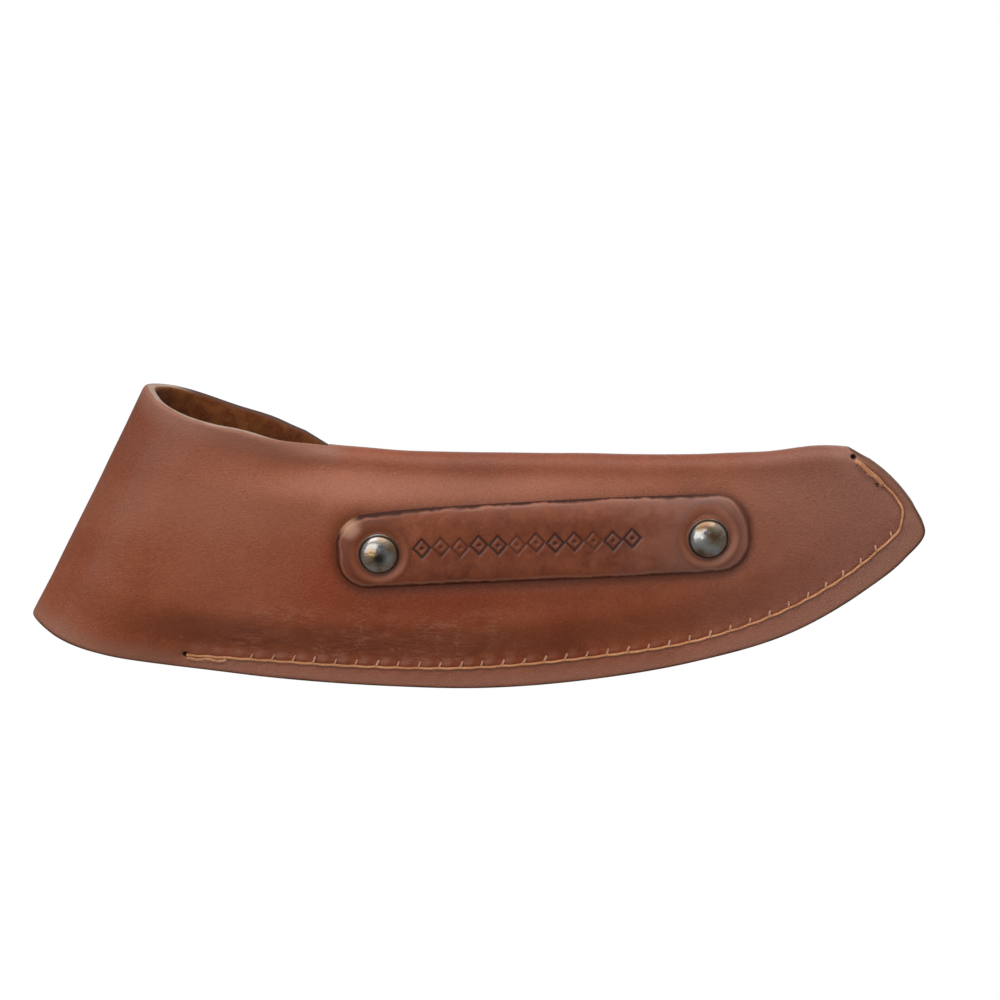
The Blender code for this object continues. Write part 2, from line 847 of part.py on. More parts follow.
def main():
    for obj in list(bpy.data.objects):
        bpy.data.objects.remove(obj, do_unlink=True)
    body = make_body()
    welt = make_welt()
    strap = make_strap()
    rivet_holes = make_rivets(strap)
    stops = seam_stops()
    make_front_thread(stops)
    make_back_thread(stops)
    needle_holes = stitch_holes(stops)
    boolean(body, new_object("body_hole_cutter", *joined(rivet_holes + needle_holes)), "DIFFERENCE")
    boolean(welt, new_object("welt_hole_cutter", *joined(needle_holes)), "DIFFERENCE")
    shapes = list(bpy.data.objects)
    middle_plane = bpy.data.objects.new("middle_plane", None)
    middle_plane.location.y = MIDDLE_PLANE_Y * MM
    bpy.context.scene.collection.objects.link(middle_plane)
    for obj in shapes:
        obj.parent = middle_plane


main()
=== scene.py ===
"""Looks of the leather sheath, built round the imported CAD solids.

The CAD solids fix where everything is. Each visible piece is modelled again here, at a fine pitch, on
the same ribs that carry the solids: leather sheets with rounded edges, pressed and puckered where the
seam and the strap pull them, twisted threads, and turned rivets.

X runs along the sheath, -Y is its front, +Z is up. Lengths are in millimetres until a mesh is made, and
Y is measured from the middle plane of the seam, which is the middle of the welt.
"""

import math

import bpy
import numpy as np
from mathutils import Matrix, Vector
from mathutils.kdtree import KDTree
from mathutils.noise import noise


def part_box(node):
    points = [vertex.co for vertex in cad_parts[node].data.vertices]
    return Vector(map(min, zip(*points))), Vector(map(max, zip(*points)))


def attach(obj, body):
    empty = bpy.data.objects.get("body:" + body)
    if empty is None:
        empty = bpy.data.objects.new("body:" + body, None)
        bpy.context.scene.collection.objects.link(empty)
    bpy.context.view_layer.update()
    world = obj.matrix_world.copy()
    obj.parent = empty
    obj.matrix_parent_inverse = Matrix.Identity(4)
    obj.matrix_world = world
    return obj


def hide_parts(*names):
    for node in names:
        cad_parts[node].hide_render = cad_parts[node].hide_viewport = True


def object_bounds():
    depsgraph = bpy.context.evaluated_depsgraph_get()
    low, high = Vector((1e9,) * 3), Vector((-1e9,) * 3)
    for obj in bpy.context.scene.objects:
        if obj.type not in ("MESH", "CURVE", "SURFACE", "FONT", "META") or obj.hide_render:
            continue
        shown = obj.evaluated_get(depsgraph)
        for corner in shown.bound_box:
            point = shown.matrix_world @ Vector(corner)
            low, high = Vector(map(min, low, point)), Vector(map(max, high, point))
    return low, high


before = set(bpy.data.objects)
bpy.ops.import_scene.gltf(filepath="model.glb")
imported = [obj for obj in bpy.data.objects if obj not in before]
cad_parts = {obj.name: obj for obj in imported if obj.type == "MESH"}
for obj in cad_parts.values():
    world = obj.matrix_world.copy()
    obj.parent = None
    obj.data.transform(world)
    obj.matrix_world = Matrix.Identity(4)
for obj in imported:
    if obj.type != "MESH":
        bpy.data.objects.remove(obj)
cad_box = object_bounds()

MM = 0.001


def box_middle(node):
    """Middle of a CAD node's box, in millimetres."""
    low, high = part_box(node)
    return (np.array(low) + np.array(high)) / 2 / MM


MIDDLE_Y = box_middle("welt")[1]

# Leather, as in the solids
LEATHER = 3.2
HALF_LEATHER = LEATHER / 2
STRAP_THICKNESS = 2.7
STRAP_GAP = 0.55
LAP_RISE = 3.5
SEAM_DEPTH = 2.5

# Outline of the middle of the leather, as (x, z)
WRAP_FOOT = (-118.6, 19.1)
WRAP_HEAD = (-87.0, 82.4)
SEAM_START = (-79.5, 6.0)
MOUTH_END = (-40.3, 65.0)
TAIL_FOOT = (-64.5, 4.1)
NOTCH = (117.3, 50.0)
COLLAR_LOW = [WRAP_FOOT, (-111.4, 14.7), (-100.2, 10.7), (-88.9, 8.0), SEAM_START]
CURVED_EDGE = [
    SEAM_START, (-53.4, 2.75), (-23.4, 0.55), (0.0, 0.0), (33.3, 2.75), (57.7, 7.1), (85.9, 15.9),
    (104.2, 26.9), (114.9, 35.7), (120.3, 43.2), NOTCH,
]
FRONT_RIM = [
    WRAP_HEAD, (-84.5, 79.9), (-80.0, 77.4), (-69.9, 74.0), (-62.6, 72.3), (-56.5, 70.2), (-51.5, 68.3),
    (-46.0, 66.5), MOUTH_END,
]
FOLD_TOP = [
    MOUTH_END, (-15.0, 63.0), (13.0, 62.7), (51.0, 62.2), (78.0, 63.2), (93.0, 64.8), (99.8, 64.4),
]
REAR_RIM = [WRAP_HEAD, (-81.6, 81.0), (-63.8, 75.2), (-54.9, 72.7), (-46.0, 69.1)]
TAIL_RIM = [REAR_RIM[-1], (-36.5, 63.1), (-27.0, 57.0)]
END_BOW = 0.6
END_LEAN = -2.4
END_RUN = 0.15

# Half depths of the hollow by station: 0 at the wrapped end, 1 where the seam starts, 2 at the far end
WRAP_RUN = 7.5
COLLAR_RUN = 45.0
POCKET_RUN = 200.0
FRONT_BELLY = [
    (0, 6.5), (0.35, 10.5), (0.7, 10.0), (1, 8.3), (1.3, 7.2), (1.52, 6.8), (1.72, 5.2), (1.93, 2.5),
    (2, 2.5),
]
FRONT = (
    FRONT_BELLY,
    [(0, 6.0), (0.35, 9.0), (0.7, 6.4), (1, 2.5), (2, 2.5)],
    [(0, 6.5), (0.35, 10.4), (0.7, 7.4), (1, 2.5), (2, 2.5)],
)
BACK = (
    [(1, 4.0), (1.5, 4.0), (1.72, 4.0), (1.93, 2.5), (2, 2.5)],
    [(0, SEAM_DEPTH), (2, SEAM_DEPTH)],
    [(0, SEAM_DEPTH), (2, SEAM_DEPTH)],
)
WING = (
    [(0, 6.5), (0.35, 10.4), (0.7, 9.0), (1, 7.5), (2, 7.5)],
    [(0, 6.0), (0.35, 9.0), (0.7, 7.6), (1, 6.0), (2, 6.0)],
    [(0, 6.5), (0.35, 10.4), (0.7, 8.6), (1, 6.0), (2, 6.0)],
)
SEAM_MARGIN = 7.5
BELLY_RISE = 13.0
FOLD_FALL = 13.0
CURL_START = 0.6

# Seam
SEAM_LINE = [
    (-78.1, 9.5), (-56.0, 7.9), (-33.3, 6.4), (-6.0, 5.8), (34.2, 9.3), (55.3, 12.6), (74.7, 18.4),
    (92.3, 26.9), (108.3, 38.9), (113.3, 44.3), (114.0, 49.2), (109.0, 56.4), (100.8, 63.8),
]
STITCH_PITCH = 5.65
HOLE_INSET = 1.4
THREAD_RADIUS = 0.36

# Name strap
STRAP_LENGTH = 110.4
STRAP_MIDDLE = (17.5, 41.5)
STRAP_WIDTH = 20.1
STRAP_CORNER = 8.5
STRAP_TILT = math.radians(2.36)

# Rivets
CAP_RADIUS = 5.5
CAP_HEIGHT = 2.7
BACK_CAP_RADIUS = 4.5
BACK_CAP_HEIGHT = 1.8
BASE_RADIUS = 4.5
CLEARANCE = 0.3


# ---------------------------------------------------------------- lines and ribs


def lerp(a, b, share):
    return a + (b - a) * share


def smooth_step(x):
    x = np.clip(x, 0, 1)
    return x * x * (3 - 2 * x)


def bell(x, width):
    return np.exp(-((x / width) ** 2))


def between(a, b, c, d, share):
    """Catmull-Rom from b to c with slopes weighted by the chord lengths."""
    first, middle, last = (
        np.linalg.norm(end - start, axis=-1, keepdims=True) for start, end in ((a, b), (b, c), (c, d))
    )
    slope_b = ((b - a) / first * middle + (c - b) / middle * first) / (first + middle)
    slope_c = ((c - b) / middle * last + (d - c) / last * middle) / (middle + last)
    t = np.asarray(share, float)[..., None]
    t2, t3 = t**2, t**3
    rise = slope_b * (t3 - 2 * t2 + t) + slope_c * (t3 - t2)
    return b * (2 * t3 - 3 * t2 + 1) + c * (3 * t2 - 2 * t3) + rise * middle


def with_ends(points):
    """The knots with one more before the first and one after the last."""
    knots = np.array(points, float)
    return np.vstack([2 * knots[0] - knots[1], knots, 2 * knots[-1] - knots[-2]])


class Line:
    """A smooth line through points, read by its length or by the share of it."""

    def __init__(self, points, steps=40):
        knots = with_ends(points)
        share = np.arange(1, steps + 1) / steps
        spans = [between(*knots[index : index + 4, None], share) for index in range(len(points) - 1)]
        self.samples = np.vstack([knots[1:2], *spans])
        chords = np.linalg.norm(np.diff(self.samples, axis=0), axis=1)
        self.lengths = np.concatenate([[0], np.cumsum(chords)])
        self.length = self.lengths[-1]

    def at_length(self, run):
        columns = self.samples.T
        return np.stack([np.interp(run, self.lengths, column) for column in columns], axis=-1)

    def at(self, share):
        return self.at_length(np.asarray(share) * self.length)

    def direction(self, run, reach=0.5):
        ahead = self.at_length(run + reach) - self.at_length(run - reach)
        return ahead / np.linalg.norm(ahead, axis=-1, keepdims=True)


def run_of(station):
    """A typical run along the sheath up to a station."""
    return COLLAR_RUN * np.minimum(station, 1) + POCKET_RUN * np.maximum(station - 1, 0)


def eased(table, width=3.5, pitch=0.25):
    """The table as (runs, values), smoothed over this width so that the leather has no crease."""
    knots = with_ends(table)
    runs = np.arange(0, COLLAR_RUN + POCKET_RUN + pitch, pitch)
    station = np.where(runs < COLLAR_RUN, runs / COLLAR_RUN, 1 + (runs - COLLAR_RUN) / POCKET_RUN)
    station = np.clip(station, knots[1, 0], knots[-2, 0])
    upper = np.clip(np.searchsorted(knots[1:-1, 0], station), 1, len(table) - 1)
    share = (station - knots[upper, 0]) / (knots[upper + 1, 0] - knots[upper, 0])
    values = between(knots[upper - 1], knots[upper], knots[upper + 1], knots[upper + 2], share)[:, 1]
    reach = round(3 * width / pitch)
    kernel = bell(np.arange(-reach, reach + 1) * pitch, width * math.sqrt(2))
    padded = np.pad(values, reach, mode="reflect", reflect_type="odd")
    return runs, np.convolve(padded, kernel / kernel.sum(), mode="valid")


def graded(table, station):
    """The table's value at each station."""
    return np.interp(run_of(station), *table)


collar_low = Line(COLLAR_LOW)
curved_edge = Line(CURVED_EDGE)
front_rim = Line(FRONT_RIM)
fold_top = Line(FOLD_TOP)
rear_rim = Line(REAR_RIM)
tail_rim = Line(TAIL_RIM)
seam = Line(SEAM_LINE)
FRONT, BACK, WING = (tuple(eased(table) for table in tables) for tables in (FRONT, BACK, WING))


def joined_line(first, second, station):
    """A point of the first line up to station 1, and of the second after it."""
    collar = first.at(np.clip(station, 0, 1))
    pocket = second.at(np.clip(station - 1, 0, 1))
    return np.where((station <= 1)[..., None], collar, pocket)


def curl_at(station):
    """How far the top of the front panel has turned over: 0 on the open rim, 1 along the fold."""
    return smooth_step((station - CURL_START) / (1 - CURL_START))


def curl_offset(curl, angle):
    """Run of the curled leather (inwards, upwards) at this angle of the full quarter turn."""
    curl = np.maximum(curl, 1e-4)
    radius = SEAM_DEPTH / curl
    return radius * (1 - np.cos(curl * angle)), radius * np.sin(curl * angle)


def near_end(station):
    return smooth_step((station - 2 + END_RUN) / END_RUN)


def rib(station):
    """Foot, shoulder and upward direction of each rib. Above the shoulder the leather curls."""
    station = np.asarray(station, float)
    foot = joined_line(collar_low, curved_edge, station)
    crest = joined_line(front_rim, fold_top, station)
    curl = curl_at(station)
    straight = crest - foot
    straight /= np.linalg.norm(straight, axis=-1, keepdims=True)
    upward = lerp(straight, np.array([0.0, 1.0]), curl[..., None])
    upward /= np.linalg.norm(upward, axis=-1, keepdims=True)
    upward[..., 0] += END_LEAN * near_end(station)
    shoulder = crest - upward * curl_offset(curl, math.pi / 2)[1][..., None]
    return foot, shoulder, upward


def wrap_factor(station):
    """Closes the collar with a quarter ellipse at its wrapped end."""
    width = math.dist(SEAM_START, WRAP_FOOT)
    return np.sqrt(1 - (1 - np.minimum(station * width / WRAP_RUN, 1)) ** 2)


def depth(tables, station, share, length):
    """Half depth of the hollow at this share of a rib, before the wrap closes it."""
    belly, low, high = (graded(table, station) for table in tables)
    edge = lerp(low, high, share)
    rise = smooth_step((share * length - SEAM_MARGIN) / BELLY_RISE)
    fall = smooth_step((1 - share) * length / FOLD_FALL)
    return edge + (belly - edge) * rise * fall


def station_and_share(x, z):
    """Where points of the XZ plane lie on the ribs."""
    point = np.stack(np.broadcast_arrays(x, z), axis=-1).astype(float)
    low = np.zeros(point.shape[:-1])
    high = low + 2
    for _ in range(34):
        middle = (low + high) / 2
        foot, shoulder, _ = rib(middle)
        along, beside = shoulder - foot, point - foot
        before = along[..., 0] * beside[..., 1] - along[..., 1] * beside[..., 0] < 0
        low, high = np.where(before, middle, low), np.where(before, high, middle)
    foot, shoulder, _ = rib(low)
    along = shoulder - foot
    share = ((point - foot) * along).sum(-1) / (along**2).sum(-1)
    return low, share


def half_depth_at(tables, x, z):
    """Half depth of the hollow, to the middle of the leather, over points of the XZ plane."""
    station, share = station_and_share(x, z)
    foot, shoulder, _ = rib(station)
    length = np.linalg.norm(shoulder - foot, axis=-1)
    return depth(tables, station, np.minimum(share, 1), length) * wrap_factor(station)


def outer_half_depth(tables, x, z):
    """Half depth of a panel's outer face, also where it rounds over the fold."""
    station, share = station_and_share(x, z)
    shoulder = rib(station)[1]
    radius = SEAM_DEPTH + HALF_LEATHER
    above = np.clip(z - shoulder[..., 1], 0, radius * 0.9)
    rounded = np.sqrt(radius**2 - above**2)
    return np.where(share <= 1, half_depth_at(tables, x, z) + HALF_LEATHER, rounded)


def frames_at(tables, side, x, z, reach=1.0):
    """Points of a panel's middle surface, and there its (rightward, upward, outward) directions."""
    right = half_depth_at(tables, x + reach, z) - half_depth_at(tables, x - reach, z)
    up = half_depth_at(tables, x, z + reach) - half_depth_at(tables, x, z - reach)
    double = np.full_like(right, 2 * reach)
    none = np.zeros_like(right)
    outward = np.cross(
        np.stack([double, side * right, none], -1), np.stack([none, side * up, double], -1)
    )
    outward *= np.sign(outward[..., 1:2]) * side / np.linalg.norm(outward, axis=-1, keepdims=True)
    rightward = np.array([1.0, 0, 0]) - outward * outward[..., :1]
    rightward /= np.linalg.norm(rightward, axis=-1, keepdims=True)
    place = np.stack(np.broadcast_arrays(x, side * half_depth_at(tables, x, z), z), -1)
    return place, rightward, np.cross(outward, rightward), outward


# ---------------------------------------------------------------- stitches and strap places

stitch_count = round(seam.length / STITCH_PITCH)
stitch_pitch = seam.length / stitch_count
stitch_runs = np.arange(stitch_count + 1) * stitch_pitch
STITCHES = seam.at_length(stitch_runs)


def inward_of(run):
    along = seam.direction(run)
    return np.stack([-along[..., 1], along[..., 0]], -1)


HOLES = STITCHES + inward_of(stitch_runs) * HOLE_INSET
HOLES[0], HOLES[-1] = STITCHES[0], STITCHES[-1]


def nearest(places, targets, spread):
    """For each place, the number of its nearest target and the distance, up to a spread."""
    tree = KDTree(len(targets))
    for number, target in enumerate(targets):
        tree.insert(Vector((*target, 0)) if len(target) == 2 else Vector(target), number)
    tree.balance()
    numbers = np.zeros(len(places), int)
    distances = np.full(len(places), spread, float)
    for index, place in enumerate(places):
        _, number, distance = tree.find(Vector((*place, 0)) if len(place) == 2 else Vector(place))
        numbers[index] = number
        distances[index] = min(distance, spread)
    return numbers, distances


def seam_coordinates(x, z):
    """Run along the seam and signed distance inwards from it, for points of the XZ plane."""
    runs = np.linspace(0, seam.length, 2400)
    samples = seam.at_length(runs)
    numbers, _ = nearest(np.stack([x, z], -1), samples, 1e9)
    run = runs[numbers]
    beside = np.stack([x, z], -1) - samples[numbers]
    return run, (beside * inward_of(run)).sum(-1), np.linalg.norm(beside, axis=-1)


def to_strap(x, z):
    """(along, across) of points of the XZ plane."""
    cos, sin = math.cos(STRAP_TILT), math.sin(STRAP_TILT)
    x, z = x - STRAP_MIDDLE[0], z - STRAP_MIDDLE[1]
    return x * cos + z * sin, z * cos - x * sin


def from_strap(along, across):
    cos, sin = math.cos(STRAP_TILT), math.sin(STRAP_TILT)
    return STRAP_MIDDLE[0] + along * cos - across * sin, STRAP_MIDDLE[1] + along * sin + across * cos


def outside_strap(x, z):
    """Signed distance of points of the XZ plane from the strap's outline."""
    along, across = to_strap(x, z)
    over_x = np.abs(along) - (STRAP_LENGTH / 2 - STRAP_CORNER)
    over_z = np.abs(across) - (STRAP_WIDTH / 2 - STRAP_CORNER)
    corner = np.hypot(np.maximum(over_x, 0), np.maximum(over_z, 0))
    return corner + np.minimum(np.maximum(over_x, over_z), 0) - STRAP_CORNER


def rivet_frame(cap_node, tables, side):
    """The panel's frame on a rivet's axis, found from the cap's box."""
    middle = box_middle(cap_node) - (0, MIDDLE_Y, 0)
    x, z = np.array([middle[0]]), np.array([middle[2]])
    for _ in range(4):
        place, rightward, upward, outward = frames_at(tables, side, x, z)
        miss = middle - place
        miss -= outward * (miss * outward).sum(-1, keepdims=True)
        x, z = x + miss[:, 0], z + miss[:, 2]
    return place[0], np.stack([rightward[0], upward[0], outward[0]])


# ---------------------------------------------------------------- shader helpers


class Nodes:
    """A node tree. Each call adds a node and returns its output, to feed to the next call."""

    def __init__(self, owner):
        owner.use_nodes = True
        self.tree = owner.node_tree
        self.place = self.add("ShaderNodeTexCoord").outputs["Object"]

    def add(self, kind, inputs=None, **settings):
        """A node with its settings, and its inputs by name or number."""
        node = self.tree.nodes.new(kind)
        for name, value in settings.items():
            setattr(node, name, value)
        for name, value in (inputs or {}).items():
            self.feed(node.inputs[name], value)
        return node

    def feed(self, socket, value):
        if isinstance(value, bpy.types.NodeSocket):
            self.tree.links.new(value, socket)
        elif isinstance(value, tuple) and len(value) == 3 and socket.type == "RGBA":
            socket.default_value = (*value, 1)
        else:
            socket.default_value = value

    def split(self, vector):
        """The X, Y and Z of a vector."""
        return self.add("ShaderNodeSeparateXYZ", {"Vector": vector}).outputs

    def stretched(self, scale, turn=(0, 0, 0), place=None):
        inputs = {"Vector": place or self.place, "Rotation": turn, "Scale": scale}
        return self.add("ShaderNodeMapping", inputs).outputs["Vector"]

    def distance(self, first, second):
        return self.add("ShaderNodeVectorMath", {0: first, 1: second}, operation="DISTANCE").outputs["Value"]

    def noise(self, size, detail=3.0, roughness=0.55, distortion=0.0, place=None):
        """Noise whose features are about this many millimetres across."""
        inputs = {
            "Vector": place or self.place,
            "Scale": 1 / (size * MM),
            "Detail": detail,
            "Roughness": roughness,
            "Distortion": distortion,
        }
        return self.add("ShaderNodeTexNoise", inputs).outputs["Fac"]

    def cells(self, size, feature="F1", place=None):
        """Distance within cells of about this many millimetres."""
        inputs = {"Vector": place or self.place, "Scale": 1 / (size * MM)}
        return self.add("ShaderNodeTexVoronoi", inputs, feature=feature).outputs["Distance"]

    def math(self, operation, first, second=0.0):
        return self.add("ShaderNodeMath", {0: first, 1: second}, operation=operation).outputs[0]

    def times(self, first, second):
        return self.math("MULTIPLY", first, second)

    def plus(self, *values):
        total = values[0]
        for value in values[1:]:
            total = self.math("ADD", total, value)
        return total

    def weighted(self, *parts):
        """The sum of (value, weight) parts."""
        return self.plus(*(self.times(value, weight) for value, weight in parts))

    def span(self, value, low, high, to_low=0.0, to_high=1.0):
        """Maps low..high of the value smoothly to to_low..to_high, and holds it there."""
        names = ("Value", "From Min", "From Max", "To Min", "To Max")
        inputs = dict(zip(names, (value, low, high, to_low, to_high)))
        return self.add("ShaderNodeMapRange", inputs, interpolation_type="SMOOTHSTEP").outputs["Result"]

    def blend(self, share, first, second):
        return self.add("ShaderNodeMix", {0: share, 6: first, 7: second}, data_type="RGBA").outputs[2]

    def mix(self, share, first, second):
        return self.add("ShaderNodeMix", {0: share, 2: first, 3: second}, data_type="FLOAT").outputs[0]


class Shader(Nodes):
    """A material with one surface."""

    def __init__(self, name):
        self.material = bpy.data.materials.new(name)
        super().__init__(self.material)
        self.surface = self.tree.nodes["Principled BSDF"]

    def finish(self, **inputs):
        for name, value in inputs.items():
            self.feed(self.surface.inputs[name.replace("_", " ")], value)
        return self.material

    def attribute(self, name, output="Fac"):
        return self.add("ShaderNodeAttribute", attribute_name=name).outputs[output]

    def layered(self, colour, *layers):
        """The colour under layers of (share, tint), each over the one before."""
        for share, tint in layers:
            colour = self.blend(share, colour, tint)
        return colour

    def spot(self, x, z, low, high, share, uneven, wobble):
        """A spot at (x, z), whole within low and gone beyond high, with an uneven edge. In millimetres."""
        away = self.distance(self.stretched((1, 0, 1)), (x * MM, 0.0, z * MM))
        away = self.plus(away, self.times(uneven, wobble * MM), -wobble / 2 * MM)
        return self.span(away, low * MM, high * MM, share, 0.0)

    def ramp(self, value, *stops):
        node = self.add("ShaderNodeValToRGB", {"Fac": value})
        elements = node.color_ramp.elements
        while len(elements) < len(stops):
            elements.new(0.5)
        for element, (position, colour) in zip(elements, stops):
            element.position = position
            element.color = (*colour, 1)
        return node.outputs["Color"]

    def bump(self, height, distance, strength=1.0):
        """A normal from a height of 0 to 1 that stands for this many millimetres."""
        inputs = {"Height": height, "Distance": distance * MM, "Strength": strength}
        return self.add("ShaderNodeBump", inputs).outputs["Normal"]


# ---------------------------------------------------------------- mesh helpers


def new_piece(name, points, faces, material, node, values=None):
    """A smooth piece from points in millimetres, standing for its CAD node."""
    mesh = bpy.data.meshes.new(name)
    placed = (np.asarray(points, float) + (0, MIDDLE_Y, 0)) * MM
    mesh.from_pydata(placed.tolist(), [], [list(face) for face in faces])
    mesh.materials.append(material)
    for label, value in (values or {}).items():
        kind = "FLOAT_VECTOR" if value.ndim == 2 else "FLOAT"
        layer = mesh.attributes.new(label, kind, "POINT")
        layer.data.foreach_set("vector" if value.ndim == 2 else "value", value.astype(np.float32).ravel())
    mesh.shade_smooth()
    mesh.validate()
    piece = bpy.data.objects.new(name, mesh)
    bpy.context.scene.collection.objects.link(piece)
    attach(piece, "root")
    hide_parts(node)
    return piece


def grid_quads(numbers, flip=False):
    """Quads of a grid of vertex numbers, by column and row."""
    left, right = numbers[:-1], numbers[1:]
    corners = [left[:, :-1], right[:, :-1], right[:, 1:], left[:, 1:]]
    if flip:
        corners.reverse()
    return np.stack(corners, -1).reshape(-1, 4)


def vertex_normals(points, quads):
    across, up = points[quads[:, 2]] - points[quads[:, 0]], points[quads[:, 3]] - points[quads[:, 1]]
    normals = np.zeros_like(points)
    faces = np.cross(across, up)
    for corner in range(4):
        np.add.at(normals, quads[:, corner], faces)
    return normals / np.maximum(np.linalg.norm(normals, axis=1, keepdims=True), 1e-12)


def free_edges(quads):
    """Edges of the sheet that belong to one quad only."""
    edges = np.vstack([quads[:, [k, (k + 1) % 4]] for k in range(4)])
    _, first, count = np.unique(np.sort(edges, axis=1), axis=0, return_index=True, return_counts=True)
    return edges[first[count == 1]]


def distance_to_edges(points, edges, reach):
    """Distance of each point of a sheet from its free edges, up to a reach."""
    starts, ends = points[edges[:, 0]], points[edges[:, 1]]
    near, _ = nearest(points, (starts + ends) / 2, reach)
    best = np.full(len(points), float(reach))
    neighbours = {}
    for number, (start, end) in enumerate(edges):
        neighbours.setdefault(int(start), []).append(number)
        neighbours.setdefault(int(end), []).append(number)
    tables = [near]
    for side in (0, 1):
        beside = [neighbours[int(edges[n][side])] for n in range(len(edges))]
        tables.append(np.array([b[0] if b[0] != n else b[-1] for n, b in enumerate(beside)])[near])
    for numbers in tables:
        a, b = starts[numbers], ends[numbers]
        along = b - a
        share = np.clip(((points - a) * along).sum(1) / (along**2).sum(1), 0, 1)
        best = np.minimum(best, np.linalg.norm(points - a - along * share[:, None], axis=1))
    return best


def thick_sheet(points, quads, half, edge_radius, outer_relief, inner_relief=0.0, squareness=2.6):
    """A sheet's middle surface thickened to both sides, with rounded edges. Reliefs are in millimetres."""
    normals = vertex_normals(points, quads)
    edges = free_edges(quads)
    distance = distance_to_edges(points, edges, 12.0)
    rounded = (1 - (1 - np.minimum(distance / edge_radius, 1)) ** squareness) ** (1 / squareness)
    inland = smooth_step(distance / (1.5 * edge_radius))
    outer = points + normals * (half * rounded + outer_relief * inland)[:, None]
    inner = points - normals * (half * rounded + inner_relief * inland)[:, None]
    on_edge = np.zeros(len(points), bool)
    on_edge[edges.ravel()] = True
    inner_number = np.arange(len(points))
    inner_number[~on_edge] = len(points) + np.arange((~on_edge).sum())
    vertices = np.vstack([outer, inner[~on_edge]])
    faces = np.vstack([quads, inner_number[quads][:, ::-1]])
    source = np.concatenate([np.arange(len(points)), np.flatnonzero(~on_edge)])
    inside = np.concatenate([on_edge * 0.5, np.ones((~on_edge).sum())])
    return vertices, faces, {"from_edge": distance[source], "inside": inside}, source


def waves(points, size, offset=0.0):
    """Smooth noise from -1 to 1 with features of about this size."""
    scaled = np.asarray(points, float) / size + offset
    return np.array([noise(Vector(place)) for place in scaled])


def edge_steps(radius):
    """Distances from an edge at which its rounding needs a vertex."""
    return radius * np.array([0, 0.03, 0.11, 0.28, 0.55, 1.0])


def tube(path, radius, sides=8):
    """A closed tube along a path."""
    path = np.asarray(path, float)
    radius = np.broadcast_to(radius, len(path))
    tangents = np.gradient(path, axis=0)
    tangents /= np.linalg.norm(tangents, axis=1, keepdims=True)
    normal = np.array([0.3, 1.0, 0.2])
    turns = np.arange(sides) * 2 * math.pi / sides
    rings = []
    for centre, tangent, wide in zip(path, tangents, radius):
        normal = normal - tangent * (normal @ tangent)
        normal /= np.linalg.norm(normal)
        other = np.cross(tangent, normal)
        rings.append(centre + wide * (np.outer(np.cos(turns), normal) + np.outer(np.sin(turns), other)))
    first = np.arange(len(path) * sides).reshape(len(path), sides)
    after = np.roll(first, -1, axis=1)
    quads = np.stack([first[:-1], after[:-1], after[1:], first[1:]], -1).reshape(-1, 4)
    caps = [first[0][::-1].tolist(), first[-1].tolist()]
    return np.vstack(rings), quads.tolist() + caps


def joined(shapes):
    points, faces, start = [], [], 0
    for shape_points, shape_faces in shapes:
        faces += [[int(index) + start for index in face] for face in shape_faces]
        points.append(shape_points)
        start += len(shape_points)
    return np.vstack(points), faces


def turned(profile, sides=72):
    """A closed shape turned about Z from a profile of (radius, height) whose ends lie on the axis."""
    profile = np.array(profile, float)
    turns = np.arange(sides) * 2 * math.pi / sides
    rings = profile[1:-1]
    circle = np.stack([np.cos(turns), np.sin(turns)], -1)
    around = np.concatenate(
        [rings[:, None, :1] * circle, np.broadcast_to(rings[:, None, 1:], (len(rings), sides, 1))], -1
    )
    points = np.vstack([[0, 0, profile[0, 1]], around.reshape(-1, 3), [0, 0, profile[-1, 1]]])
    numbers = 1 + np.arange(len(rings) * sides).reshape(len(rings), sides)
    after = np.roll(numbers, -1, axis=1)
    quads = np.stack([numbers[:-1], numbers[1:], after[1:], after[:-1]], -1).reshape(-1, 4).tolist()
    last = len(points) - 1
    top = [[0, int(a), int(b)] for a, b in zip(numbers[0], after[0])]
    bottom = [[last, int(b), int(a)] for a, b in zip(numbers[-1], after[-1])]
    return points, top + quads + bottom


def arc(centre, radius, start, end, steps):
    """Points of an arc in (radius, height) between two angles in degrees."""
    angles = np.radians(np.linspace(start, end, steps + 1))
    return [(centre[0] + radius * math.cos(a), centre[1] + radius * math.sin(a)) for a in angles]


# ---------------------------------------------------------------- the body

EDGE_RADIUS = 1.15
COLLAR_PITCH = 0.85
COLUMNS_PER_STITCH = np.array([0, 0.11, 0.28, 0.5, 0.72, 0.89])
END_COLUMNS_FROM = 1.9
MOUTH_STATION_RUN = 150.0
END_PITCH = 0.62
SEAM_ROW_SHARE = 0.19
SEAM_ROW_PITCH = 0.5
ROW_PITCH = 1.25
SOFT_WIDTH = 4.5
SOFT_PITCH = 0.25
SOFT_REACH = 9.0
CURL_ANGLES = np.radians([13, 26, 39, 52, 64, 74, 81, 86, 89, 90])
FRONT_PANEL, BACK_PANEL, WING_PANEL = range(3)
FAR = 99.0
NEAR_REACH = 5.0


def collar_columns():
    """Stations of the collar, crowded round the wrap."""
    wrap = WRAP_RUN / math.dist(SEAM_START, WRAP_FOOT)
    round_part = wrap * (1 - np.cos(np.linspace(0, math.pi / 2, 15)))[:-1]
    steps = round((1 - wrap) * math.dist(SEAM_START, WRAP_FOOT) / COLLAR_PITCH)
    return np.concatenate([round_part, np.linspace(wrap, 1, steps + 1)])


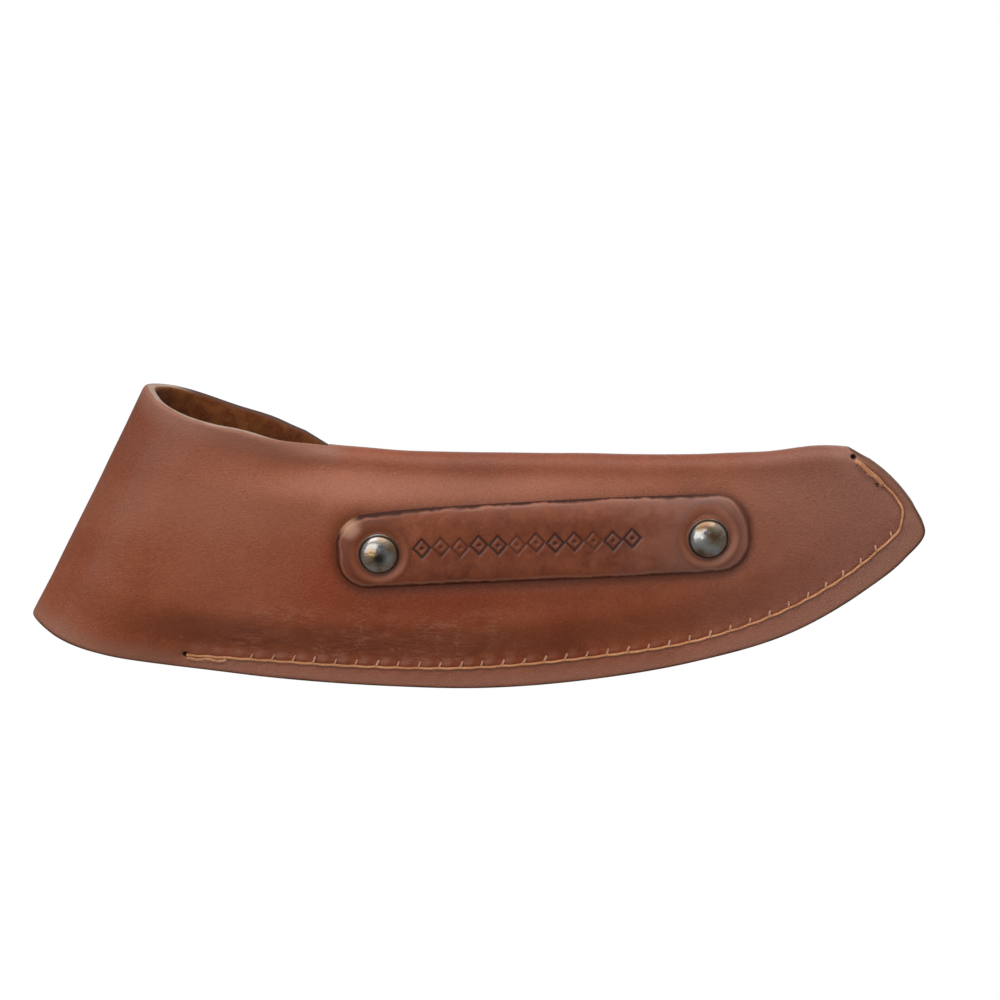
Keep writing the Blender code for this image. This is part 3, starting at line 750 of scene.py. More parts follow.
def pocket_columns():
    """Stations of the pocket, which meet the stitch holes and crowd at both ends."""
    length = curved_edge.length
    holes = station_and_share(HOLES[:, 0], HOLES[:, 1])[0]
    start = 1 + EDGE_RADIUS / MOUTH_STATION_RUN
    holes = holes[(holes > start + 1 / length) & (holes < END_COLUMNS_FROM)]
    columns = [lerp(a, b, COLUMNS_PER_STITCH) for a, b in zip(holes, holes[1:])]
    before = np.linspace(start, holes[0], max(round((holes[0] - start) * length), 1) + 1)[:-1]
    first = 1 + edge_steps(EDGE_RADIUS)[:-1] / MOUTH_STATION_RUN
    end_run = (2 - END_COLUMNS_FROM) * length
    last = np.linspace(holes[-1], 2 - EDGE_RADIUS / length * 1.6, round(end_run / END_PITCH))
    rounding = 2 - edge_steps(EDGE_RADIUS)[-2::-1] / length * 1.6
    return np.concatenate([first, before, *columns, last, rounding])


def panel_rows():
    """Shares of a rib at which the sheet has a row, dense under and round the seam."""
    typical = 58.0
    edge = edge_steps(EDGE_RADIUS)[:-1] / typical
    near = np.arange(EDGE_RADIUS / typical, SEAM_ROW_SHARE, SEAM_ROW_PITCH / typical)
    far = np.linspace(SEAM_ROW_SHARE, 1, round((1 - SEAM_ROW_SHARE) * typical / ROW_PITCH) + 1)
    return np.concatenate([edge, near, far])


def panel_grid(tables, side, stations, shares):
    """Points of a panel's middle surface by column and row, up over its quarter turn."""
    foot, shoulder, upward = (value[:, None] for value in rib(stations))
    station = stations[:, None]
    length = np.linalg.norm(shoulder - foot, axis=-1)
    share = np.broadcast_to(shares, (len(stations), len(shares)))
    flat = lerp(foot, shoulder, share[..., None])
    bow = END_BOW * 4 * share * (1 - share) * near_end(station)
    wrap = wrap_factor(station)
    y = side * depth(tables, station, share, length) * wrap
    straight = np.stack([flat[..., 0] + bow, y, flat[..., 1] + bow], -1)
    inward, up = curl_offset(curl_at(station), CURL_ANGLES[None])
    over = shoulder + upward * up[..., None]
    y = side * (depth(tables, station, np.ones_like(up), length) * wrap - inward)
    curled = np.stack([over[..., 0], y, over[..., 1]], -1)
    return np.concatenate([straight, curled], axis=1)


def softened(grid, column):
    """The grid with each row's kink at a column smoothed away over a few millimetres."""
    result = grid.copy()
    for row in range(grid.shape[1]):
        line = grid[:, row]
        runs = np.concatenate([[0], np.cumsum(np.linalg.norm(np.diff(line, axis=0), axis=1))])
        kink = runs[column]
        even = np.arange(0, runs[-1], SOFT_PITCH)
        sampled = np.stack([np.interp(even, runs, values) for values in line.T], -1)
        reach = round(3 * SOFT_WIDTH / SOFT_PITCH)
        kernel = bell(np.arange(-reach, reach + 1) * SOFT_PITCH, SOFT_WIDTH)
        kernel /= kernel.sum()
        padded = np.pad(sampled, ((reach, reach), (0, 0)), mode="reflect", reflect_type="odd")
        smooth = np.stack([np.convolve(values, kernel, mode="valid") for values in padded.T], -1)
        moved = np.stack([np.interp(runs, even, values) for values in smooth.T], -1) - line
        result[:, row] += moved * smooth_step(2 - np.abs(runs - kink) / SOFT_REACH)[:, None]
    return result


def wing_rows(shares):
    """Shares of the wing's ribs that meet the front panel's rows at the wrapped end."""
    length = math.dist(WRAP_HEAD, WRAP_FOOT)
    straight = length - SEAM_DEPTH * math.pi / 2
    return np.concatenate([shares * straight, lerp(straight, length, CURL_ANGLES / (math.pi / 2))]) / length


def wing_grid(foot, crest, stations, shares):
    """Points of the wing's middle surface. Its right part lies on the back panel."""
    rows = wing_rows(shares)
    flat = lerp(foot[:, None], crest[:, None], rows[None, :, None])
    length = np.linalg.norm(crest - foot, axis=-1)[:, None]
    station = stations[:, None]
    share = np.broadcast_to(rows, flat.shape[:2])
    own = depth(WING, station, share, length) * wrap_factor(station)
    lapped = half_depth_at(BACK, flat[..., 0], flat[..., 1]) + LAP_RISE
    half = lerp(own, lapped, smooth_step((station - 0.8) / 0.2))
    return np.stack([flat[..., 0], half, flat[..., 1]], -1)


def body_surface():
    """The blank's middle surface: points, quads, and for each point its panel, station and row share."""
    collar, pocket, shares = collar_columns(), pocket_columns(), panel_rows()
    stations = np.concatenate([collar[:-1], pocket])
    rows = len(shares) + len(CURL_ANGLES)
    row_share = np.concatenate([shares, np.full(len(CURL_ANGLES), 1.0)])
    kinked = panel_grid(FRONT, -1, stations, shares)
    front = softened(kinked, len(collar) - 1)
    crown_shift = (front - kinked)[len(collar) - 1 :, -1:]
    back = panel_grid(BACK, 1, pocket, shares)
    back += crown_shift * smooth_step((row_share - 0.7) / 0.3)[:, None]
    back = back[:, :-1]
    tail_run = math.dist(TAIL_FOOT, SEAM_START)
    tail = np.linspace(0, 1, round(tail_run / COLLAR_PITCH))[1:]
    end = 1 - edge_steps(EDGE_RADIUS)[::-1] / tail_run
    tail = np.concatenate([tail[:-1] * (1 - EDGE_RADIUS / tail_run), end])
    wing_stations = np.concatenate([collar[1:], 1 + 0.05 * tail])
    foot = np.vstack([collar_low.at(collar[1:]), curved_edge.at_length(tail * tail_run)])
    crest = np.vstack([rear_rim.at(collar[1:]), tail_rim.at(tail)])
    wing = wing_grid(foot, crest, wing_stations, shares)
    front_numbers = np.arange(front.shape[0] * rows).reshape(front.shape[0], rows)
    start = front_numbers.size
    fold = front_numbers[len(collar) - 1 :, -1:]
    back_numbers = np.hstack([start + np.arange(back.shape[0] * (rows - 1)).reshape(-1, rows - 1), fold])
    start += back.shape[0] * (rows - 1)
    wing_numbers = start + np.arange(wing.shape[0] * rows).reshape(-1, rows)
    wing_numbers = np.vstack([front_numbers[:1], wing_numbers])
    numbers = (grid_quads(front_numbers), grid_quads(back_numbers, True), grid_quads(wing_numbers, True))
    sheets = (
        (FRONT_PANEL, front, stations, row_share),
        (BACK_PANEL, back, pocket, row_share[:-1]),
        (WING_PANEL, wing, wing_stations, wing_rows(shares)),
    )
    points = np.vstack([grid.reshape(-1, 3) for _, grid, _, _ in sheets])
    panel = np.concatenate([np.full(len(columns) * len(rows), kind) for kind, _, columns, rows in sheets])
    station = np.concatenate([np.repeat(columns, len(rows)) for _, _, columns, rows in sheets])
    share = np.concatenate([np.tile(rows, len(columns)) for _, _, columns, rows in sheets])
    return points, np.vstack(numbers), panel, station, share


# Relief of the seam: depths and heights, widths, and where in each stitch the leather rises most
GROOVE_DEPTH = 0.3
GROOVE_WIDTH = 0.7
HOLLOW_WIDTH = 3.2
DIMPLE_DEPTH = 0.35
DIMPLE_WIDTH = 0.6
PUCKER_HEIGHT = 0.26
PUCKER_PHASE = 0.4
WRINKLE_HEIGHT = 0.55
WRINKLED_TO = 20
OPEN_HOLE_DEPTH = 2.2
STRAP_PRESS = 0.28
STRAP_SWELL = 0.22

SPUR_LENGTH = 1.75
SPUR_LEANS = ([-80.0, 40.0, 95.0, 112.0], [30.0, 22.0, 8.0, -14.0])


def spur_holes():
    """Where the loops come up on the front: above their stitch, leaning right and at the tip left."""
    lean = np.radians(np.interp(STITCHES[:, 0], *SPUR_LEANS))
    return STITCHES + SPUR_LENGTH * np.stack([np.sin(lean), np.cos(lean)], -1)


OPEN_HOLE_RADII = (0.5, 0.3, 0.36, 0.56)


def open_holes():
    """Holes that the thread leaves open at both ends of the seam, as (x, z)."""
    end = seam.length
    runs = np.array([-0.3, 0.78 * stitch_pitch, end - 1.75 * stitch_pitch, end])
    ahead = np.array([-0.5, 0.0, 0.0, 0.1])
    inwards = np.array([0.3, -0.4, 1.45, 0.1])
    held = np.clip(runs, 0, end)
    return seam.at_length(held) + inward_of(held) * inwards[:, None] + seam.direction(held) * ahead[:, None]


LOOPS = range(3, stitch_count - 4)


def seam_relief(points, run, offset, distance, holes):
    """Grooves and folds that the seam draws into a panel's outer face, and where it creases and puckers."""
    x = points[:, 0]
    groove = -GROOVE_DEPTH * bell(distance, GROOVE_WIDTH) - GROOVE_DEPTH * bell(distance, HOLLOW_WIDTH)
    _, to_hole = nearest(points[:, [0, 2]], holes, NEAR_REACH)
    dimple = -DIMPLE_DEPTH * bell(to_hole, DIMPLE_WIDTH)
    phase = 2 * math.pi * run / stitch_pitch
    slack = smooth_step((x + 75) / 14) * smooth_step((24 - x) / 26)
    loose = lerp(0.35, 1.0, slack) * (1 - 0.8 * smooth_step((x - 78) / 22))
    reach = smooth_step((offset - 0.6) / 1.6) * bell(np.maximum(offset - 1.6, 0), 3.4)
    uneven = 0.65 + 0.7 * waves(points, 9.0, 4.0)
    pucker = -PUCKER_HEIGHT * np.cos(phase + PUCKER_PHASE) * loose * reach * uneven
    beside = np.stack([run / 7.0, offset / 2.0, 0 * run], -1)
    fading = smooth_step((WRINKLED_TO - offset) / 10)
    zone = smooth_step((offset - 2) / 3) * fading * slack
    wrinkles = WRINKLE_HEIGHT * zone * (0.5 - 2 * np.abs(waves(beside, 1.0, 7.0)))
    wrinkles *= smooth_step(0.7 + 1.4 * waves(points, 14.0, 2.0))
    margin = 0.07 * np.cos(phase + 0.6) * smooth_step((-offset - 0.5) / 1.0) * bell(offset + 1.5, 1.6)
    beyond = smooth_step((offset - 0.2) / 0.8) * bell(np.maximum(offset - 1.1, 0), 1.7)
    # Where the puckers rise, for a painted highlight.
    pucker_highlight = smooth_step(-1.3 * np.cos(phase + PUCKER_PHASE)) * beyond * (0.3 + 0.7 * loose)
    creased = smooth_step((offset - 0.4) / 2) * fading * slack
    return groove + dimple + pucker + wrinkles + margin, creased, pucker_highlight


def make_body(material):
    points, quads, panel, station, share = body_surface()
    outer = points + vertex_normals(points, quads) * HALF_LEATHER
    x, z = outer[:, 0], outer[:, 2]
    run, offset, distance = seam_coordinates(x, z)
    on_front = panel == FRONT_PANEL
    from_strap_edge = np.where(on_front, outside_strap(x, z), FAR)
    front_seam, creased, pucker_highlight = seam_relief(outer, run, offset, distance, spur_holes()[LOOPS])
    back_seam = seam_relief(outer, run, offset, distance, HOLES)[0]
    number, to_open = nearest(outer[:, [0, 2]], open_holes(), NEAR_REACH)
    radius = np.array(OPEN_HOLE_RADII)[number]
    front_seam -= OPEN_HOLE_DEPTH * radius * bell(to_open, radius * 1.15)
    seams = np.where(on_front, front_seam, back_seam * np.where(panel == BACK_PANEL, 0.6, 0))
    soft = 0.34 * waves(points, 34.0) + 0.14 * waves(points, 13.0, 11.0)
    press = -STRAP_PRESS * bell(np.maximum(from_strap_edge, 0), 1.6) * (from_strap_edge > -2)
    swell = STRAP_SWELL * bell(from_strap_edge - 4.2, 2.6) * (from_strap_edge < 50)
    relief = seams + soft * smooth_step(distance / 9) + press + swell
    thickness_wave = 0.1 * waves(points, 20.0, 5.0)
    vertices, faces, values, source = thick_sheet(
        points, quads, HALF_LEATHER, EDGE_RADIUS, relief, thickness_wave
    )
    wing_fade = np.where(panel == WING_PANEL, smooth_step((0.3 - station) / 0.2), 1)
    rim = (station < 1.02) * (share > 0.9) * wing_fade
    values["rim"] = rim[source]
    values["creased"] = (creased * on_front)[source]
    values["pucker_highlight"] = (pucker_highlight * on_front)[source]
    values["front"] = (on_front * 1.0)[source]
    values["seam_place"] = (np.stack([run, offset, 0 * run], -1) * MM)[source]
    # Where the body gets painted shade round the strap.
    values["strap_shade"] = bell(np.maximum(from_strap_edge, 0), 1.5)[source] * on_front[source]
    _, to_hole = nearest(outer[:, [0, 2]], HOLES, NEAR_REACH)
    values["hole"] = (bell(to_hole + 0.4, 0.75) * (panel == BACK_PANEL))[source]
    return new_piece("sheath_body_leather", vertices, faces, material, "sheath_body", values)


# ---------------------------------------------------------------- the welt

WELT_HALF = 0.86
WELT_SHARE = 0.15
WELT_END_STATION = 1.932
WELT_END_SHARE = 0.89


def make_welt(material):
    """The strip between the panels, of which only the edge shows."""
    stations = pocket_columns()[::2]
    stations[-1] = 2.0
    low, high = np.linspace(0.03, WELT_SHARE, 6), np.linspace(0.2, WELT_END_SHARE, 24)
    shares = np.concatenate([edge_steps(0.6) / 58, low, high])
    grid = panel_grid(BACK, 1, stations, shares)[:, : len(shares)]
    grid[..., 1] = 0.0
    numbers = np.arange(grid.shape[0] * grid.shape[1]).reshape(grid.shape[:2])
    quads = grid_quads(numbers, flip=True)
    low_share = np.tile(shares[:-1], len(stations) - 1)
    low_station = np.repeat(stations[:-1], len(shares) - 1)
    kept = (low_share < WELT_SHARE) | (low_station > WELT_END_STATION)
    quads = quads[kept]
    used, compact = np.unique(quads, return_inverse=True)
    quads = compact.reshape(quads.shape)
    points = grid.reshape(-1, 3)[used]
    wave = 0.05 * waves(points, 6.0, 3.0)
    vertices, faces, values, _ = thick_sheet(points, quads, WELT_HALF, 0.45, wave, wave)
    return new_piece("welt_strip", vertices, faces, material, "welt", values)


# ---------------------------------------------------------------- the strap

STRAP_EDGE = 1.9
STAMP_HALF_LENGTH = 30.5
STAMP_MIDDLE = -4.2
STAMP_RISE = 0.4
STAMP_PITCH = 5.1
STAMP_HALF_WIDTH = 2.25
STAMP_HALF_HEIGHT = 2.5
STAMP_LINE = 0.34
STAMP_DEPTH = 0.42
DISH_RADIUS = 8.2
DISH_DEPTH = 0.55
FINE_ROWS = (-0.3, 0.38)
STAMP_COLUMN_PITCH = 0.22
STRAP_COLUMN_PITCH = 0.42


def stamp_pressing(along, across):
    """How far the row of plain diamonds is pressed in, from 0 to 1."""
    beside = along - STAMP_MIDDLE
    count = round(2 * STAMP_HALF_LENGTH / STAMP_PITCH)
    number = np.clip(np.round(beside / STAMP_PITCH + (count - 1) / 2), 0, count - 1)
    u = beside - (number - (count - 1) / 2) * STAMP_PITCH
    v = across - STAMP_RISE - 0.22 * np.sin(number * 2.4)
    reach = np.abs(u) / STAMP_HALF_WIDTH + np.abs(v) / STAMP_HALF_HEIGHT
    slope = math.hypot(1 / STAMP_HALF_WIDTH, 1 / STAMP_HALF_HEIGHT)
    outline = bell((reach - 1) / slope, STAMP_LINE)
    dot = bell(np.hypot(u, v), 0.55)
    strength = 0.75 + 0.25 * np.cos(number * 1.7 + 0.5)
    return np.maximum(outline, dot) * strength


def strap_half_width(along):
    into_corner = np.clip(np.abs(along) - (STRAP_LENGTH / 2 - STRAP_CORNER), 0, STRAP_CORNER)
    return STRAP_WIDTH / 2 - STRAP_CORNER + np.sqrt(STRAP_CORNER**2 - into_corner**2)


def strap_columns():
    straight = STRAP_LENGTH / 2 - STRAP_CORNER
    corner = straight + STRAP_CORNER * np.sin(np.linspace(0, math.pi / 2, 25))[1:]
    stamp_start, stamp_end = STAMP_MIDDLE - STAMP_HALF_LENGTH - 1, STAMP_MIDDLE + STAMP_HALF_LENGTH + 1
    fine = np.linspace(stamp_start, stamp_end, round((stamp_end - stamp_start) / STAMP_COLUMN_PITCH))
    runs = (stamp_start + straight, straight - stamp_end)
    before, after = (round(run / STRAP_COLUMN_PITCH) + 1 for run in runs)
    left = np.linspace(-straight, stamp_start, before)[:-1]
    right = np.linspace(stamp_end, straight, after)[1:]
    return np.concatenate([-corner[::-1], left, fine, right, corner])


def strap_rows():
    """Shares from -1 to 1 of the strap's half width."""
    edge = 1 - edge_steps(STRAP_EDGE)[:-1] / (STRAP_WIDTH / 2)
    inner = 1 - STRAP_EDGE / (STRAP_WIDTH / 2)
    fine = np.linspace(*FINE_ROWS, 32)
    low = np.linspace(-inner, FINE_ROWS[0], 12)[:-1]
    high = np.linspace(FINE_ROWS[1], inner, 11)[1:]
    return np.concatenate([-edge, low, fine, high, edge[::-1]])


def make_strap(material, rivets):
    along, rows = np.meshgrid(strap_columns(), strap_rows(), indexing="ij")
    across = rows * strap_half_width(along)
    x, z = from_strap(along.ravel(), across.ravel())
    place, _, _, outward = frames_at(FRONT, -1, x, z)
    into = -outside_strap(x, z)
    settle = (STRAP_GAP - 0.1) * bell(into, 2.4)
    points = place + outward * (HALF_LEATHER + STRAP_GAP + STRAP_THICKNESS / 2 - settle)[:, None]
    numbers = np.arange(len(points)).reshape(along.shape)
    quads = grid_quads(numbers)
    stamp = stamp_pressing(along.ravel(), across.ravel())
    from_rivet = np.full(len(points), FAR)
    for middle, _ in rivets:
        from_rivet = np.minimum(from_rivet, np.hypot(x - middle[0], z - middle[2]))
    dish = -DISH_DEPTH * smooth_step((DISH_RADIUS - from_rivet) / 2.6)
    ring = 0.14 * bell(from_rivet - 7.6, 0.8) - 0.15 * bell(from_rivet - 6.1, 0.4)
    soft = 0.12 * waves(points, 11.0, 9.0) + 0.05 * waves(points, 4.0, 1.0)
    relief = dish + ring + soft - STAMP_DEPTH * stamp
    vertices, faces, values, source = thick_sheet(
        points, quads, STRAP_THICKNESS / 2, STRAP_EDGE, relief, 0.0, squareness=2.0
    )
    values["stamp"] = stamp[source] * (values["inside"] < 0.5)
    values["seat"] = smooth_step((8.6 - from_rivet) / 2.2)[source]
    values["ring"] = (bell(from_rivet - 6.0, 0.4) + 0.6 * bell(from_rivet - 8.3, 0.45))[source]
    return new_piece("name_strap", vertices, faces, material, "label_strap", values)


# ---------------------------------------------------------------- rivets

STUD_RADIUS = 0.9
POST_RADIUS = 1.6
POST_BORE = 1.2
RIM_ROLL = 0.32
DOME_FOOT = 0.55
FLANGE = 0.8


def cap_profile(radius, height, reach, skirt):
    """Dome, a fine crease, a rolled rim that turns under, and the stud."""
    shoulder = radius - 0.42
    dome = [
        (shoulder * math.sin(a), DOME_FOOT + (height - DOME_FOOT) * math.cos(a) ** 0.9)
        for a in np.radians(np.linspace(0, 84, 26))
    ]
    rim = arc((radius - RIM_ROLL, 0.28), RIM_ROLL, 78, -80, 10)
    under = [(radius - 0.45, -skirt), (radius - 0.75, -skirt), (radius - 0.95, 0.0)]
    stud = [(STUD_RADIUS + 0.3, 0), (STUD_RADIUS, -0.2), (STUD_RADIUS, -reach + 0.2)]
    return dome + rim + under + stud + [(STUD_RADIUS - 0.2, -reach), (0, -reach)]


def base_profile(post_height):
    """A tube for the stud, on a flange with a rounded edge and a shallow hollow underneath."""
    edge = arc((BASE_RADIUS - FLANGE / 2, -FLANGE / 2), FLANGE / 2, 90, -90, 10)
    return [
        (0, post_height * 0.15),
        (POST_BORE - 0.1, post_height * 0.15),
        (POST_BORE, post_height * 0.18),
        (POST_BORE, post_height - 0.1),
        (POST_BORE + 0.12, post_height),
        (POST_RADIUS - 0.1, post_height),
        (POST_RADIUS, post_height - 0.12),
        (POST_RADIUS, 0.25),
        (POST_RADIUS + 0.25, 0),
        *edge,
        (2.2, -FLANGE),
        (1.9, -FLANGE + 0.12),
        (0, -FLANGE + 0.12),
    ]


def make_turned(name, profile, level, place, material, node, dent, seed):
    """A turned piece on a rivet's axis, with shallow dents in its metal."""
    points, faces = turned(profile)
    dents = dent * waves(points, 2.2, seed) + 0.4 * dent * waves(points, 0.8, seed + 3)
    points[:, 2] += dents * smooth_step((points[:, 2] - 0.4) / 0.5)
    points[:, :2] += points[:, :2] * (0.004 * waves(points, 3.0, seed + 9))[:, None]
    middle, axes = place
    placed = middle + (points + (0, 0, level)) @ axes
    radius = np.hypot(points[:, 0], points[:, 1])
    values = {"radius": radius / radius.max()}
    return new_piece(name, placed, faces, material, node, values)


def make_rivet(piece, node, label, place, outer_face, radius, height, seed, sink):
    """The cap outside and the base inside, whose tube takes the cap's stud."""
    base_level = -HALF_LEATHER - CLEARANCE
    post_height = outer_face - base_level
    parts = (
        ("cap", cap_profile(radius, height, 0.85 * post_height, 0.35), cap_metal, 0.07, seed),
        ("base", base_profile(post_height), base_metal, 0.02, seed + 5),
    )
    levels = (outer_face + CLEARANCE - sink, base_level)
    for (part, profile, metal, dent, part_seed), level in zip(parts, levels):
        names = (f"{piece}_{part}_{label}", f"{node}_{part}_{label}")
        make_turned(names[0], profile, level, place, metal, names[1], dent, part_seed)


# ---------------------------------------------------------------- threads

PLIES = 3
PLY_TWIST = 2.1
PLY_OFFSET = 0.46
PLY_RADIUS = 0.56
GROOVE = 0.32
END_GAP = 1.2
FUZZ_RADII = (0.055, 0.02)


def resampled(path, pitch):
    """The path with points at an even pitch."""
    path = np.asarray(path, float)
    lengths = np.concatenate([[0], np.cumsum(np.linalg.norm(np.diff(path, axis=0), axis=1))])
    runs = np.linspace(0, lengths[-1], max(int(lengths[-1] / pitch), 3) + 1)
    return np.stack([np.interp(runs, lengths, column) for column in path.T], -1), runs


def smoothed(path, times=2):
    for _ in range(times):
        path[1:-1] = (path[:-2] + 2 * path[1:-1] + path[2:]) / 4
    return path


def twisted(path, radius, pitch=0.26, sides=7, twist=PLY_TWIST):
    """Plies laid round each other along a path."""
    path, runs = resampled(path, pitch)
    path = smoothed(path)
    tangents = np.gradient(path, axis=0)
    tangents /= np.linalg.norm(tangents, axis=1, keepdims=True)
    outward = np.array([0, -1.0, 0.0])
    normals = outward - tangents * (tangents @ outward)[:, None]
    normals /= np.maximum(np.linalg.norm(normals, axis=1, keepdims=True), 1e-6)
    others = np.cross(tangents, normals)
    taper = np.clip(np.minimum(runs, runs[-1] - runs) / 0.5, 0.35, 1)
    shapes = []
    for ply in range(PLIES):
        angle = 2 * math.pi * (runs / twist + ply / PLIES)
        out, beside = np.cos(angle), np.sin(angle)
        around = normals * out[:, None] + others * beside[:, None]
        lay = path + PLY_OFFSET * radius * around * taper[:, None]
        shapes.append(tube(lay, PLY_RADIUS * radius * taper, sides))
    return shapes


def fuzz(path, count, length, spread, random):
    """Loose fibres that stand off a thread."""
    path, runs = resampled(path, 0.3)
    shapes = []
    for _ in range(count):
        start = path[random.integers(0, len(path))]
        heading = random.normal(size=3) * (1, 0.35, 0.6)
        heading /= np.linalg.norm(heading)
        curl = random.normal(size=3) * 0.5
        steps = np.linspace(0, 1, 6)[:, None]
        reach = length * random.uniform(0.5, 1.2)
        fibre = start + (0, -spread, 0) + heading * steps * reach + curl * steps**2 * reach * 0.5
        fibre[:, 1] = np.minimum(fibre[:, 1], start[1] + 0.1)
        shapes.append(tube(fibre, np.linspace(*FUZZ_RADII, 6), 4))
    return shapes


def front_place(x, z, lift):
    """Points of the front's outer face, lifted off it."""
    x, z = np.asarray(x, float), np.asarray(z, float)
    return np.stack([x, -(outer_half_depth(FRONT, x, z) + lift), z], -1)


def back_place(x, z, lift):
    x, z = np.asarray(x, float), np.asarray(z, float)
    step = LAP_RISE * smooth_step(0.5 + under_tail_depth(x, z) / 1.6)
    return np.stack([x, outer_half_depth(BACK, x, z) + step + lift, z], -1)


def under_tail_depth(x, z):
    """Signed distance into the tail from its right edge."""
    foot, crest = np.array(TAIL_FOOT), np.array(TAIL_RIM[-1])
    along = (crest - foot) / np.linalg.norm(crest - foot)
    return along[0] * (z - foot[1]) - along[1] * (x - foot[0])


def seam_path(first_run, last_run, sway, sag, lift, side_step=0.0):
    """The laid thread: it sways inwards and sinks at every stitch."""
    runs = np.arange(first_run, last_run, 0.25)
    phase = 2 * math.pi * runs / stitch_pitch
    beside = inward_of(runs) * (sway * np.cos(phase) + side_step)[:, None]
    flat = seam.at_length(runs) + beside
    sink = sag * (0.5 + 0.5 * np.cos(phase)) ** 3
    return front_place(flat[:, 0], flat[:, 1], lift - sink)


def into_both_holes(path):
    """Takes both ends of the path down their holes."""
    near, down = (0, 0.35, 0), (0, 1.4, 0)
    first, last = path[0], path[-1]
    return np.vstack([first + down, first + near, path, last + near, last + down])


def make_front_thread(material):
    random = np.random.default_rng(11)
    last = seam.length - END_GAP
    lift = THREAD_RADIUS - GROOVE + 0.04
    main = seam_path(0.0, last, 0.07, 0.12, lift)
    main = into_both_holes(main)
    left_pass = seam_path(0.3, 1.9 * stitch_pitch, 0.2, 0.25, lift + 0.08, -0.86)
    left_pass = into_both_holes(left_pass)
    right_pass = seam_path(last - 1.7 * stitch_pitch, last, 0.14, 0.1, lift + 0.1, 0.45)
    right_pass = into_both_holes(right_pass)
    shapes = twisted(main, THREAD_RADIUS)
    firm = sum(len(points) for points, _ in shapes)
    shapes += twisted(left_pass, THREAD_RADIUS * 1.2, twist=3.4)
    shapes += twisted(right_pass, THREAD_RADIUS * 1.3, twist=2.4)
    shapes += fuzz(left_pass[3:-3], 60, 1.3, 0.25, random)
    shapes += fuzz(right_pass[3:-3], 130, 1.3, 0.25, random)
    shapes += fuzz(main[3:-3], 70, 0.7, 0.15, random)
    points, faces = joined(shapes)
    values = {"pale": (np.arange(len(points)) >= firm) * 0.3}
    return new_piece("front_seam_thread", points, faces, material, "seam_front_thread", values)


def make_back_thread(material):
    random = np.random.default_rng(5)
    places = []
    for here, after in zip(HOLES, HOLES[1:]):
        shares = np.linspace(0, 1, 16)[:-1]
        flat = here + (after - here) * shares[:, None]
        sink = 0.45 * bell(np.minimum(shares, 1 - shares) * stitch_pitch, 0.5)
        places.append(back_place(flat[:, 0], flat[:, 1], THREAD_RADIUS - sink))
    path = np.vstack(places)
    path = np.vstack([path[0] - (0, 1.2, 0), path, path[-1] - (0, 1.2, 0)])
    shapes = twisted(path, THREAD_RADIUS * 1.1)
    laid = sum(len(points) for points, _ in shapes)
    inward, along = inward_of(stitch_runs), seam.direction(stitch_runs)
    holes = spur_holes()
    for index in LOOPS:
        hole, stitch = holes[index], STITCHES[index]
        hole = hole + along[index] * random.normal() * 0.12 + inward[index] * random.normal() * 0.12
        raised = random.uniform(0.02, 0.14)
        start = front_place(*hole, -1.2)
        rise = front_place(*lerp(hole, stitch, 0.1), -0.18)
        mid = front_place(*lerp(hole, stitch, 0.45), raised)
        near = front_place(*lerp(hole, stitch, 0.8), raised - 0.05)
        end = front_place(*stitch, -0.35)
        bow = Line([start, rise, mid, near, end], 8).samples
        shapes += twisted(bow, THREAD_RADIUS * random.uniform(0.75, 1.05), pitch=0.16, sides=6, twist=1.5)
    points, faces = joined(shapes)
    values = {"pale": (np.arange(len(points)) >= laid) * 1.0}
    return new_piece("back_seam_thread", points, faces, material, "seam_back_thread", values)


# ---------------------------------------------------------------- materials

# Middles of a patch of painted shade below the strap and of a painted highlight on the collar, in metres,
# once stretched as there
SHADE_BELOW_STRAP_MIDDLE = (-0.024, 0.0, 0.076)
COLLAR_HIGHLIGHT_MIDDLE = (-0.066, 0.0, 0.034)
HOLE_SHADE = (0.006, 0.004, 0.003)
GRAIN_DRIFT = 0.0006


def leather_grain(shader, size):
    """Height of fine creases and pores, from 0 to 1."""
    wide = shader.noise(size * 6, 2)
    inputs = {"Vector": shader.place, "Scale": 1 / (size * 3 * MM), "Detail": 2.0}
    drift = shader.add("ShaderNodeTexNoise", inputs).outputs["Color"]
    inputs = {0: GRAIN_DRIFT, 4: shader.place, 5: drift}
    place = shader.add("ShaderNodeMix", inputs, data_type="VECTOR").outputs[1]
    crease = shader.span(shader.cells(size, "DISTANCE_TO_EDGE", place), 0.0, 0.16)
    fine = shader.noise(size * 0.35, 3, 0.65)
    return shader.weighted((crease, 0.5), (fine, 0.35), (wide, 0.35))


